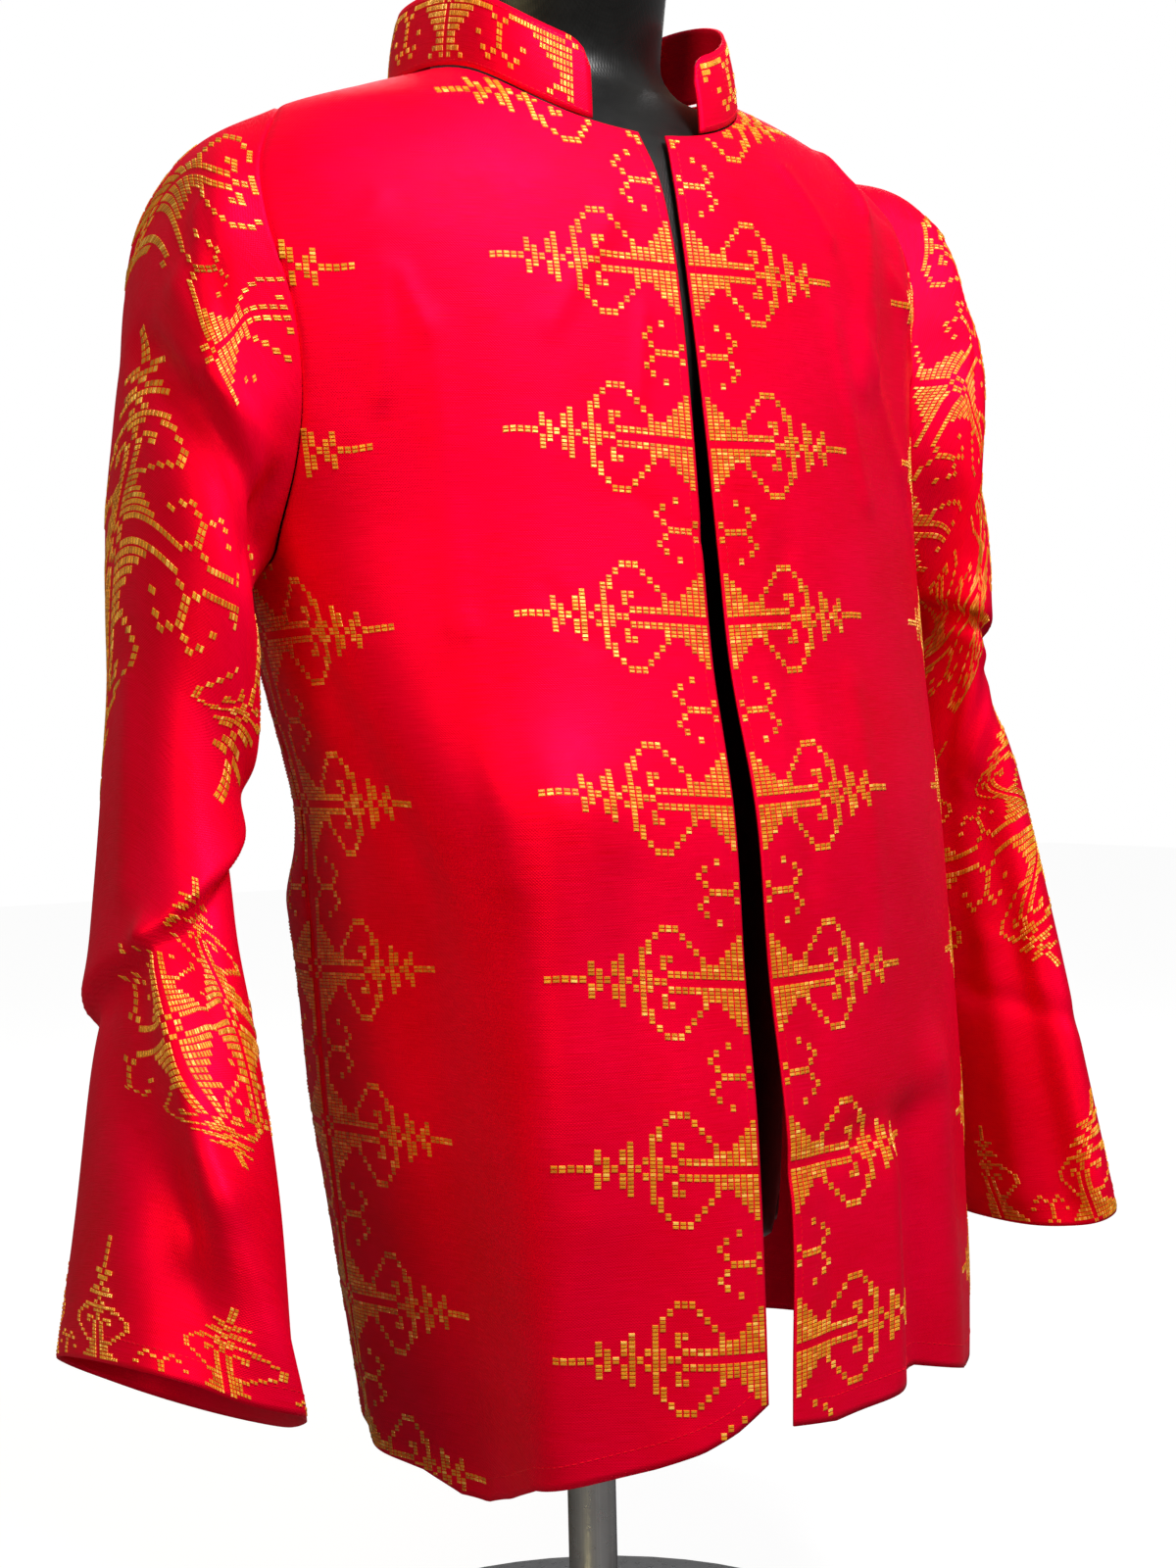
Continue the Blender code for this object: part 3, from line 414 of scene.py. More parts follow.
@dataclass
class BodyShape:
    """The jacket's body as a surface: a turn round the form in degrees and a height give a place on it."""

    folds: tuple[tuple[float, ...], ...] = BODY_FOLDS
    table: np.ndarray = field(default_factory=lambda: np.array(BODY, float))
    turns: np.ndarray = field(default_factory=lambda: np.linspace(0, 360, 721))
    heights: np.ndarray = field(default_factory=lambda: np.linspace(BODY[0][0], BODY[-1][0], 153))
    normal_steps: tuple[float, float] = (1.0, 2.0)  # in turn and height, over which a normal is measured

    def __post_init__(self) -> None:
        """Measures the cloth round every level, both ways."""
        self.girths = run_along(self.smooth(*np.meshgrid(self.turns, self.heights)), axis=1)
        self.totals = self.girths[:, -1]
        shares = np.linspace(0, 1, len(self.turns))
        self.turn_table = np.array([np.interp(shares * g[-1], g, self.turns) for g in self.girths])

    def smooth(self, turn: np.ndarray, height: np.ndarray) -> np.ndarray:
        """Points of the cloth without its folds.

        Args:
            turn: turns round the form, in degrees.
            height: heights on it.

        Returns:
            The points.
        """
        turn, height = np.broadcast_arrays(np.mod(turn, 360.0), np.asarray(height, float))
        row = on_curves(self.table, height)
        right = turn < 180
        front = (turn < 90) | (turn > 270)
        square = np.where(front, np.where(right, row[..., 6], row[..., 7]), BACK_SQUARE)
        sine, cosine = np.sin(np.radians(turn)), np.cos(np.radians(turn))
        across = np.where(right, row[..., 1], row[..., 2]) * np.abs(sine) ** (2 / square)
        deep = np.where(front, row[..., 3], row[..., 4]) * np.abs(cosine) ** (2 / square)
        x = np.where(right, -across, across)
        y = row[..., 5] + np.where(front, -deep, deep)
        return np.stack([x, y, height], axis=-1)

    def level(self, height: np.ndarray) -> np.ndarray:
        """The fractional row of a height in the girth tables."""
        return (np.asarray(height, float) - self.heights[0]) / (self.heights[1] - self.heights[0])

    def total(self, height: np.ndarray) -> np.ndarray:
        """Distance all the way round at a height."""
        return np.interp(height, self.heights, self.totals)

    def turn_at(self, distance: np.ndarray, height: np.ndarray) -> np.ndarray:
        """The turn at a distance round from the front, positive on the wearer's right."""
        share = np.mod(distance / self.total(height), 1.0)
        return between_cells(self.turn_table, self.level(height), share * (len(self.turns) - 1))

    def around(self, turn: np.ndarray, height: np.ndarray) -> np.ndarray:
        """Signed distance round from the front, positive on the wearer's right.

        Args:
            turn: turns round the form, in degrees.
            height: heights on it.

        Returns:
            The distances.
        """
        column = np.mod(turn, 360.0) / (self.turns[1] - self.turns[0])
        distance = between_cells(self.girths, self.level(height), column)
        return np.where(distance < self.total(height) / 2, distance, distance - self.total(height))

    def rise(self, turn: np.ndarray, height: np.ndarray) -> np.ndarray:
        """How far the folds lift the cloth.

        Args:
            turn: turns round the form, in degrees.
            height: heights on it.

        Returns:
            How far, at each place.
        """
        across = self.around(turn, height)
        rise = np.zeros(across.shape)
        for start, low, end, high, lift, half in self.folds:
            away, _ = from_line(across, height, (start, low), (end, high))
            rise += lift * np.exp(-((away / half) ** 2))
        return rise

    def points(self, turn: np.ndarray, height: np.ndarray) -> np.ndarray:
        """Points on the outside of the cloth, with its folds.

        Args:
            turn: turns round the form, in degrees.
            height: heights on it.

        Returns:
            The points.
        """
        turn, height = np.broadcast_arrays(turn, height)
        base = self.smooth(turn, height)
        normal = unit_normals(self.smooth, turn, height, self.normal_steps)
        return base + normal * self.rise(turn, height)[..., None]

    def surface(self, turn: np.ndarray, height: np.ndarray) -> tuple[np.ndarray, np.ndarray]:
        """Outer points of the cloth and their unit normals."""
        return self.points(turn, height), unit_normals(self.points, turn, height, self.normal_steps)

    def flat_surface(self, distance: np.ndarray, height: np.ndarray) -> tuple[np.ndarray, np.ndarray]:
        """Outer points and normals at signed distances round and heights."""
        return self.surface(self.turn_at(distance, height), height)

    def opening(self, height: np.ndarray, side: Side) -> np.ndarray:
        """How far a front edge lies from the middle, round the cloth."""
        return on_curves(self.table, np.asarray(height, float))[..., 8 if side is Side.RIGHT else 9]

    def hem(self, share: np.ndarray) -> np.ndarray:
        """Height of the hem at a share of the way round from the right front edge."""
        return np.interp(share, [row[0] for row in HEM], [row[1] for row in HEM])

    @property
    def neck_half_width(self) -> float:
        """Half width of the neckline at the shoulder seams."""
        return float(on_curves(self.table, np.array(NECK_SIDE))[1])

    def neck_point(self, part: float, behind: bool, side: Side) -> tuple[float, float]:
        """Turn and height of the neckline, from the middle at 0 to the shoulder seam at 1.

        Args:
            part: the share of the way.
            behind: whether it is at the back.
            side: the wearer's side.

        Returns:
            The turn and the height.
        """
        angle = part * math.pi / 2
        middle = NECK_BACK if behind else NECK_FRONT
        height = middle + (NECK_SIDE - middle) * (1 - math.cos(angle))
        row = on_curves(self.table, np.array(height))
        reach = float(row[1] if side is Side.RIGHT else row[2])
        square = BACK_SQUARE if behind else float(row[6] if side is Side.RIGHT else row[7])
        sine = min(1.0, (self.neck_half_width * math.sin(angle) / reach) ** (square / 2))
        off = math.degrees(math.asin(sine))
        return side.turned(180 - off if behind else off), height

    def armhole(self, part: float, behind: bool, side: Side) -> tuple[float, float]:
        """Turn and height of the armhole's edge, from the armpit at 0 to the shoulder seam at 1.

        Args:
            part: the share of the way.
            behind: whether it is at the back.
            side: the wearer's side.

        Returns:
            The turn and the height.
        """
        angle = math.pi * (1 - part)
        height = (ARMPIT + SHOULDER_TIP) / 2 + (SHOULDER_TIP - ARMPIT) / 2 * math.cos(angle)
        low = side.turned(float(self.turn_at(np.array(side.handed * QUARTER), np.array(ARMPIT))))
        front_cut = ARMHOLE_RIGHT if side is Side.RIGHT else ARMHOLE_LEFT
        cut = (ARMHOLE_BACK if behind else -front_cut) * math.sin(angle)
        return side.turned(90 + (low - 90) * (1 - part) ** 2 + cut), height


def place(points: np.ndarray) -> np.ndarray:
    """Millimetres about the form's axis as metres in the model."""
    return (points + AXIS) * MM


@dataclass
class SleeveShape:
    """A sleeve as a surface: a turn round the arm, from 0 outside by 90 in front to 180 against the body, and
    a share of the way down it.
    """

    body: BodyShape
    side: Side
    stations: tuple[tuple[float, ...], ...]
    folds: tuple[tuple[float, ...], ...]
    ring_steps: int = 48
    cap_share: float = 0.22
    square: float = 2.2
    radius: float = 60.0  # turns a fold's degrees into a distance round the sleeve
    lip_edge: float = 3.2  # half the breadth of the step at a lip
    length: float = 655.0  # of the cloth, from the shoulder's tip to the cuff
    cap_drop: float = 140.0  # how much further down the cloth its edge lies under the arm
    fold_fade: float = 0.05  # the share down the sleeve over which its folds begin
    normal_steps: tuple[float, float] = (2.0, 0.004)  # in turn and share, over which a normal is measured
    tries: int = 14  # to find a flat place again on the sleeve
    pace: float = 0.9  # how much of the way there each try goes
    least_slope: float = 1.0
    turns: np.ndarray = field(default_factory=lambda: np.linspace(-180, 180, 241))
    shares: np.ndarray = field(default_factory=lambda: np.linspace(0, 1, 121))

    def __post_init__(self) -> None:
        """Works out the armhole's ring and measures the sleeve round every level."""
        steps = range(self.ring_steps)
        ring = [self.body.armhole(1 - step / len(steps), False, self.side) for step in steps]
        ring += [self.body.armhole(step / len(steps), True, self.side) for step in steps]
        turn, height = np.array(ring).T
        self.table = np.array(self.stations, float)
        self.loop = self.body.points(turn, height)
        self.loop_turns = np.linspace(0, 360, len(self.loop) + 1)
        self.shift = np.zeros((len(self.loop) + 1, 3))
        gap = self.loop - self.smooth(self.loop_turns[:-1], np.zeros(len(self.loop)))
        self.shift = np.concatenate([gap, gap[:1]])
        rings = self.smooth(*np.meshgrid(self.turns, self.shares))
        girths = run_along(rings, axis=1)
        top = len(self.turns) // 2
        self.girths = girths - girths[:, top : top + 1]
        down = run_along(rings)
        self.down = down / down[-1]

    def smooth(self, turn: np.ndarray, share: np.ndarray) -> np.ndarray:
        """Points of the sleeve without its folds.

        Args:
            turn: turns round the arm, in degrees.
            share: shares of the way down the sleeve.

        Returns:
            The points.
        """
        turn, share = np.broadcast_arrays(np.asarray(turn, float), np.asarray(share, float))
        row = on_curves(self.table, share)
        cosine, sine = np.cos(np.radians(turn)), np.sin(np.radians(turn))
        along = np.sign(cosine) * np.abs(cosine) ** (2 / self.square)
        across = np.sign(sine) * np.abs(sine) ** (2 / self.square)
        x = (row[..., 1] + row[..., 3]) / 2 + (row[..., 1] - row[..., 3]) / 2 * along
        z = (row[..., 2] + row[..., 4]) / 2 + (row[..., 2] - row[..., 4]) / 2 * along + row[..., 7] * across
        y = row[..., 5] - row[..., 6] * across
        points = np.stack([self.side.value * x, y, z], axis=-1)
        ease = np.clip(1 - share / self.cap_share, 0, 1) ** 2
        wrapped = np.mod(turn, 360)
        moved = [np.interp(wrapped, self.loop_turns, self.shift[:, axis]) for axis in range(3)]
        return points + np.stack(moved, axis=-1) * ease[..., None]

    def rise(self, turn: np.ndarray, height: np.ndarray) -> np.ndarray:
        """How far the folds lift the cloth.

        Args:
            turn: turns round the arm, in degrees.
            height: heights of the places.

        Returns:
            How far, at each place.
        """
        rise = np.zeros(turn.shape)
        for start, low, end, high, lift, half, lip in self.folds:
            middle = (start + end) / 2
            near = np.mod(turn - middle + 180, 360) - 180 + middle
            ends = [(math.radians(start) * self.radius, low), (math.radians(end) * self.radius, high)]
            away, offset = from_line(np.radians(near) * self.radius, height, *ends)
            if lip:
                rise += lift * np.tanh(offset / self.lip_edge) * np.exp(-away / half)
            else:
                rise += lift * np.exp(-((away / half) ** 2))
        return rise

    def points(self, turn: np.ndarray, share: np.ndarray) -> np.ndarray:
        """Points on the outside of the sleeve, with its folds.

        Args:
            turn: turns round the arm, in degrees.
            share: shares of the way down the sleeve.

        Returns:
            The points.
        """
        base = self.smooth(turn, share)
        turn, share = np.broadcast_arrays(turn, share)
        lift = self.rise(turn, base[..., 2]) * np.clip(share / self.fold_fade, 0, 1)
        return base + self.outwards(self.smooth, turn, share) * lift[..., None]

    def outwards(
        self, surface: Callable[[np.ndarray, np.ndarray], np.ndarray], turn: np.ndarray, share: np.ndarray
    ) -> np.ndarray:
        """Unit normals of the sleeve with or without its folds, away from the arm."""
        return self.side.handed * unit_normals(surface, turn, share, self.normal_steps)

    def surface(self, turn: np.ndarray, share: np.ndarray) -> tuple[np.ndarray, np.ndarray]:
        """Outer points of the sleeve and their unit normals."""
        return self.points(turn, share), self.outwards(self.points, turn, share)

    def cap(self, turn: np.ndarray) -> np.ndarray:
        """How far down the cloth the sleeve's upper edge lies."""
        return self.cap_drop * (1 - np.cos(np.radians(turn))) / 2

    def cell(self, turn: np.ndarray, share: np.ndarray) -> tuple[np.ndarray, np.ndarray]:
        """Fractional rows and columns of the sleeve's measures."""
        return share * (len(self.shares) - 1), (turn + 180) / 360 * (len(self.turns) - 1)

    def cloth_at(self, turn: np.ndarray, share: np.ndarray) -> tuple[np.ndarray, np.ndarray]:
        """Flat places on the cloth: round the arm from its outside, and down from the shoulder's tip.

        Args:
            turn: turns round the arm, in degrees.
            share: shares of the way down the sleeve.

        Returns:
            The distances round and the distances down.
        """
        row, column = self.cell(turn, share)
        down = between_cells(self.down, row, column)
        cap = self.cap(turn)
        return between_cells(self.girths, row, column), cap + (self.length - cap) * down

    def turn_and_share(self, across: np.ndarray, down: np.ndarray) -> tuple[np.ndarray, np.ndarray]:
        """The turn and share of flat places on the cloth, found by stepping closer to them.

        Args:
            across: distances round the arm from its outside.
            down: distances down from the shoulder's tip.

        Returns:
            The turns and the shares.
        """
        turn, share = np.zeros(across.shape), np.clip(down / self.length, 0, 1)
        two_columns = self.turns[2] - self.turns[0]
        for _ in range(self.tries):
            here, level = self.cloth_at(turn, share)
            share = np.clip(share + (down - level) / self.length * self.pace, 0, 1)
            row, column = self.cell(turn, share)
            slope = between_cells(self.girths, row, column + 1) - between_cells(self.girths, row, column - 1)
            slope = np.maximum(slope, self.least_slope)
            turn = np.clip(turn + self.pace * (across - here) / slope * two_columns, -180, 180)
        return turn, share

    def flat_surface(self, across: np.ndarray, down: np.ndarray) -> tuple[np.ndarray, np.ndarray]:
        """Outer points and normals at flat places on the cloth."""
        return self.surface(*self.turn_and_share(across, down))


@dataclass
class CollarShape:
    """The stand collar as a surface: distance from the wearer's right end, and height above the seam."""

    body: BodyShape
    height: float = 40.0
    end_gap: float = 33.0  # from each front corner of the neckline to the collar's end
    corner: float = 13.0
    lean: float = 6.0
    foot: float = 1.1
    neckline_places: int = 401

    def __post_init__(self) -> None:
        """Measures the neckline from the right front round the back to the left front."""
        line = []
        for step in np.linspace(-1, 1, self.neckline_places):
            side = Side.RIGHT if step < 0 else Side.LEFT
            behind = abs(step) < 0.5
            part = 2 * abs(step) if behind else 2 * (1 - abs(step))
            line.append(self.body.neck_point(min(part, 1.0), behind, side))
        turn, height = np.array(line).T
        self.base = self.body.points(turn, height)
        self.along = run_along(self.base) - self.end_gap
        self.length = float(self.along[-1] - self.end_gap)

    def top(self, along: np.ndarray) -> np.ndarray:
        """Height of the upper edge, lower at the rounded corners.

        Args:
            along: distances from the right end.

        Returns:
            The heights.
        """
        from_end = np.minimum(along, self.length - along)
        inset = np.clip(self.corner - from_end, 0, self.corner)
        return self.height - self.corner + np.sqrt(np.maximum(self.corner**2 - inset**2, 0))

    def flat_surface(self, along: np.ndarray, up: np.ndarray) -> tuple[np.ndarray, np.ndarray]:
        """Outer points and normals at distances along and heights up.

        Args:
            along: distances from the right end.
            up: heights above the seam.

        Returns:
            The points and the normals.
        """
        base = np.stack([np.interp(along, self.along, self.base[:, axis]) for axis in range(3)], axis=-1)
        outward = base * (1, 1, 0)
        outward /= np.linalg.norm(outward, axis=-1, keepdims=True)
        lean = self.lean * (up / self.height) ** 2
        points = base + np.asarray(up)[..., None] * np.array([0, 0, 1.0]) - lean[..., None] * outward
        return points, outward


@dataclass(frozen=True)
class Chart:
    """The woven figure, counted in steps of the weave from the middle of its band.

    Each column holds the rows of its gold floats above the figure's middle line, and again below it.
    """

    repeat: int = 24  # rows from one figure to the next
    row: float = 87.0 / 24  # height of a row, in mm
    column: float = 3.55  # breadth of a column
    columns: tuple[tuple[int, ...], ...] = (
        (1,), (0, 2, 3, 4, 5, 6, 7, 8, 9, 10), (1, 2, 3, 4, 5, 6), (1, 2, 3, 4, 5), (1, 2, 3, 4),
        (1, 2, 3), (1, 2), (1, 2), (1, 2, 3), (1, 4), (1, 5), (1, 6), (1, 7), (1, 3, 7),
        (0, 2, 3, 7), (0, 6), (0, 1, 4, 5), (0, 1, 2, 3, 4), (1,), (0,), (0, 1, 2, 3), (1, 2), (0,),
        (0, 1), (1, 2), (0,), (0,), (0,), (0,), (0,),
    )  # fmt: skip
    between: tuple[tuple[int, int], ...] = (
        (3, 1), (4, 0), (5, 0), (6, 0), (7, 0), (6, 4), (8, 1), (8, 3), (9, 2),
    )  # fmt: skip

    def floats(self) -> list[tuple[int, int]]:
        """Column and row of every float of one repeat, on one side of the band.

        Returns:
            The columns and rows, sorted.
        """
        figure = [(column, row) for column, rows in enumerate(self.columns, start=1) for row in rows]
        half = self.repeat // 2
        cells = {(column, sign * row) for column, row in figure for sign in (1, -1)}
        cells |= {(column, half + sign * row) for column, row in self.between for sign in (1, -1)}
        return sorted(cells)


CHART = Chart()


Lie = Callable[[np.ndarray, np.ndarray], np.ndarray]


class KnownLie:
    """Where a band's rows and columns lie on the flat cloth: even, but drawn through some known places."""

    def __init__(
        self, knots: Sequence[tuple[float, ...]], evenness: float = 30.0, reach: float = 16.0
    ) -> None:
        """Fits the band to its known places.

        Args:
            knots: each known place's row, column, distance round and distance down.
            evenness: how strongly the band keeps its own spacing.
            reach: how far a known place draws its neighbours along, in rows.
        """
        known = np.array(knots, float)
        self.cells, self.reach = known[:, :2], reach
        even = np.array([[CHART.row, 0.0], [0.0, CHART.column]])
        middle = self.cells.mean(axis=0)
        near = self.cells - middle
        off = known[:, 2:] - known[:, 2:].mean(axis=0) - near @ even
        change = np.linalg.solve(near.T @ near + evenness * np.eye(2), near.T @ off)
        self.slope = even + change
        self.shift = known[:, 2:].mean(axis=0) - middle @ self.slope
        rest = known[:, 2:] - self.cells @ self.slope - self.shift
        self.pull = np.linalg.solve(self.nearness(self.cells), rest)

    def nearness(self, cells: np.ndarray) -> np.ndarray:
        """How near each cell is to each known one, from 1 down to 0."""
        away = np.linalg.norm(cells[:, None] - self.cells[None], axis=-1) * math.sqrt(3) / self.reach
        return (1 + away) * np.exp(-away)

    def __call__(self, rows: np.ndarray, columns: np.ndarray) -> np.ndarray:
        """Flat places of rows and columns."""
        cells = np.column_stack([rows, columns])
        return cells @ self.slope + self.shift + self.nearness(cells) @ self.pull


@dataclass(frozen=True)
class Band:
    """A band of figures: where its rows and columns lie on the flat cloth, and which of them it shows."""

    lie: Lie
    rows: tuple[float, float]
    way: Way = Way.BOTH
    columns: tuple[float, float] = (-30, 30)
    breadth: float = 0.41  # half a float's breadth, in columns
    height: float = 0.215  # and half its height, in rows
    pair: tuple[float, float] = (-0.25, 0.25)  # where its two threads lie, in rows from its middle

    def threads(self) -> np.ndarray:
        """Every thread of the band: its middle and its half breadth and half height on the flat cloth.

        Returns:
            A row for each thread.
        """
        cells = []
        signs = (1, -1) if self.way is Way.BOTH else (self.way.value,)
        first = math.floor(self.rows[0] / CHART.repeat) - 1
        last = math.ceil(self.rows[1] / CHART.repeat) + 1
        for figure in range(first, last + 1):
            for column, row in CHART.floats():
                at = figure * CHART.repeat + row
                if self.rows[0] <= at <= self.rows[1]:
                    cells += [(at + part, sign * (column - 0.5)) for sign in signs for part in self.pair]
        cells = {cell for cell in cells if self.columns[0] <= cell[1] <= self.columns[1]}
        row, column = np.array(sorted(cells)).T
        half = self.breadth, self.height
        middle = self.lie(row, column)
        wide = (self.lie(row, column + half[0]) - self.lie(row, column - half[0])) / 2
        high = (self.lie(row + half[1], column) - self.lie(row - half[1], column)) / 2
        return np.concatenate([middle, wide, high], axis=1)


def sleeve_bands(
    lies: Sequence[Sequence[tuple[float, ...]]],
    shown: Sequence[tuple[int, tuple[float, float], tuple[float, float]]],
) -> list[Band]:
    """The bands of a sleeve."""
    return [Band(KnownLie(lies[band]), rows, columns=columns) for band, rows, columns in shown]


Surface = Callable[[np.ndarray, np.ndarray], tuple[np.ndarray, np.ndarray]]


def placed(name: str, data: bpy.types.ID) -> bpy.types.Object:
    """A new object of some data, linked to the scene.

    Args:
        name: the object's name.
        data: its mesh, light or camera.

    Returns:
        The object.
    """
    made = bpy.data.objects.new(name, data)
    bpy.context.scene.collection.objects.link(made)
    return made


def mesh_of(name: str, shape: bmesh.types.BMesh) -> bpy.types.Mesh:
    """A new mesh of a shape, which is used up.

    Args:
        name: the mesh's name.
        shape: the shape, freed here.

    Returns:
        The mesh.
    """
    mesh = bpy.data.meshes.new(name)
    shape.to_mesh(mesh)
    shape.free()
    return mesh


def node_group(
    name: str, inputs: Sequence[tuple[str, str, float]], outputs: Sequence[tuple[str, str]]
) -> bpy.types.NodeTree:
    """An empty shader node group with its sockets.

    Args:
        name: the group's name.
        inputs: each input's name, socket type and value (not used for a vector).
        outputs: each output's name and socket type.

    Returns:
        The group.
    """
    tree = bpy.data.node_groups.new(name, "ShaderNodeTree")
    for label, kind, value in inputs:
        socket = tree.interface.new_socket(label, in_out="INPUT", socket_type=kind)
        if kind == "NodeSocketFloat":
            socket.default_value = value
    for label, kind in outputs:
        tree.interface.new_socket(label, in_out="OUTPUT", socket_type=kind)
    return tree


def set_inputs(node: bpy.types.Node, values: dict[str, object]) -> None:
    """Sets some of a node's inputs, by name."""
    for label, value in values.items():
        node.inputs[label].default_value = value


class Nodes:
    """Adds and links the nodes of one tree."""

    def __init__(self, tree: bpy.types.NodeTree) -> None:
        """Keeps the tree."""
        self.tree = tree

    def add(self, kind: str, **settings: object) -> bpy.types.Node:
        """A new node with its settings.

        Args:
            kind: the node's type.
            settings: its settings.

        Returns:
            The node.
        """
        made = self.tree.nodes.new(kind)
        for key, value in settings.items():
            setattr(made, key, value)
        return made

    def link(self, source: bpy.types.NodeSocket, target: bpy.types.NodeSocket) -> None:
        """Joins two sockets."""
        self.tree.links.new(source, target)

    def maths(self, operation: str, first: object, second: object = None) -> bpy.types.NodeSocket:
        """The result of a sum on sockets or numbers.

        Args:
            operation: the sum.
            first: a socket or a number.
            second: another.

        Returns:
            The result.
        """
        made = self.add("ShaderNodeMath", operation=operation)
        for socket, value in zip(made.inputs, (first, second)):
            if isinstance(value, bpy.types.NodeSocket):
                self.link(value, socket)
            elif value is not None:
                socket.default_value = value
        return made.outputs[0]

    def noise(self, vector: bpy.types.NodeSocket, scale: float, detail: float = 2.0) -> bpy.types.NodeSocket:
        """A noise texture's value.

        Args:
            vector: where it is read.
            scale: its patches to a unit.
            detail: how fine it gets.

        Returns:
            The value.
        """
        made = self.add("ShaderNodeTexNoise")
        set_inputs(made, {"Scale": scale, "Detail": detail})
        self.link(vector, made.inputs["Vector"])
        return made.outputs["Fac"]

    def stretch(
        self, vector: bpy.types.NodeSocket, scale: tuple[float, float, float]
    ) -> bpy.types.NodeSocket:
        """A vector with its axes scaled.

        Args:
            vector: the vector.
            scale: of each axis.

        Returns:
            The scaled vector.
        """
        made = self.add("ShaderNodeMapping")
        made.inputs["Scale"].default_value = scale
        self.link(vector, made.inputs["Vector"])
        return made.outputs[0]

    def blend(self, share: bpy.types.NodeSocket, low: object, high: object) -> bpy.types.NodeSocket:
        """A colour between two others, each a socket or an RGB triple.

        Args:
            share: from 0, all low, to 1.
            low: the first colour.
            high: the second.

        Returns:
            The colour.
        """
        made = self.add("ShaderNodeMix", data_type="RGBA")
        self.link(share, made.inputs["Factor"])
        for socket, value in ((made.inputs[6], low), (made.inputs[7], high)):
            if isinstance(value, bpy.types.NodeSocket):
                self.link(value, socket)
            else:
                socket.default_value = (*value, 1)
        return made.outputs[2]

    def spread(self, value: bpy.types.NodeSocket, low: float, high: float) -> bpy.types.NodeSocket:
        """A value from 0 to 1 spread over another range.

        Args:
            value: the value.
            low: the new range's start.
            high: and its end.

        Returns:
            The new value.
        """
        made = self.add("ShaderNodeMapRange")
        set_inputs(made, {"To Min": low, "To Max": high})
        self.link(value, made.inputs["Value"])
        return made.outputs[0]


SLUB_STRETCH = (60, 1900, 1)  # slubs to a metre along the weft, and threads across it
CROSSING_RELIEF = 0.35  # of the crossing threads, against the slubs'
BROAD_PATCHES = 14.0  # handled patches to a metre, large and small
FINE_PATCHES = 160.0
PATCH_DETAIL = 3.0


def weave_group() -> bpy.types.NodeTree:
    """Threads crossing one over one: Height of the cloth, and Slub, where its weft is thick or thin.

    Returns:
        The group.
    """
    tree = node_group(
        "weave",
        [("Vector", "NodeSocketVector", 0), ("Thread", "NodeSocketFloat", 0.0007)],
        [("Height", "NodeSocketFloat"), ("Slub", "NodeSocketFloat")],
    )
    nodes = Nodes(tree)
    given, result = nodes.add("NodeGroupInput"), nodes.add("NodeGroupOutput")
    split = nodes.add("ShaderNodeSeparateXYZ")
    nodes.link(given.outputs["Vector"], split.inputs[0])
    waves = []
    for axis in (0, 1):
        angle = nodes.maths("DIVIDE", split.outputs[axis], given.outputs["Thread"])
        waves.append(nodes.maths("SINE", nodes.maths("MULTIPLY", angle, math.pi)))
    crossing = nodes.maths("MULTIPLY", *waves)
    slub = nodes.noise(nodes.stretch(given.outputs["Vector"], SLUB_STRETCH), 1.0)
    raised = nodes.maths("ADD", nodes.maths("MULTIPLY", crossing, CROSSING_RELIEF), slub)
    nodes.link(raised, result.inputs["Height"])
    nodes.link(slub, result.inputs["Slub"])
    return tree


def handling_group() -> bpy.types.NodeTree:
    """Soft unevenness of a handled surface: Broad, large soft patches, and Fine, small ones.

    Returns:
        The group.
    """
    tree = node_group(
        "handling",
        [("Vector", "NodeSocketVector", 0)],
        [("Broad", "NodeSocketFloat"), ("Fine", "NodeSocketFloat")],
    )
    nodes = Nodes(tree)
    given, result = nodes.add("NodeGroupInput"), nodes.add("NodeGroupOutput")
    for label, patches in (("Broad", BROAD_PATCHES), ("Fine", FINE_PATCHES)):
        nodes.link(nodes.noise(given.outputs["Vector"], patches, PATCH_DETAIL), result.inputs[label])
    return tree


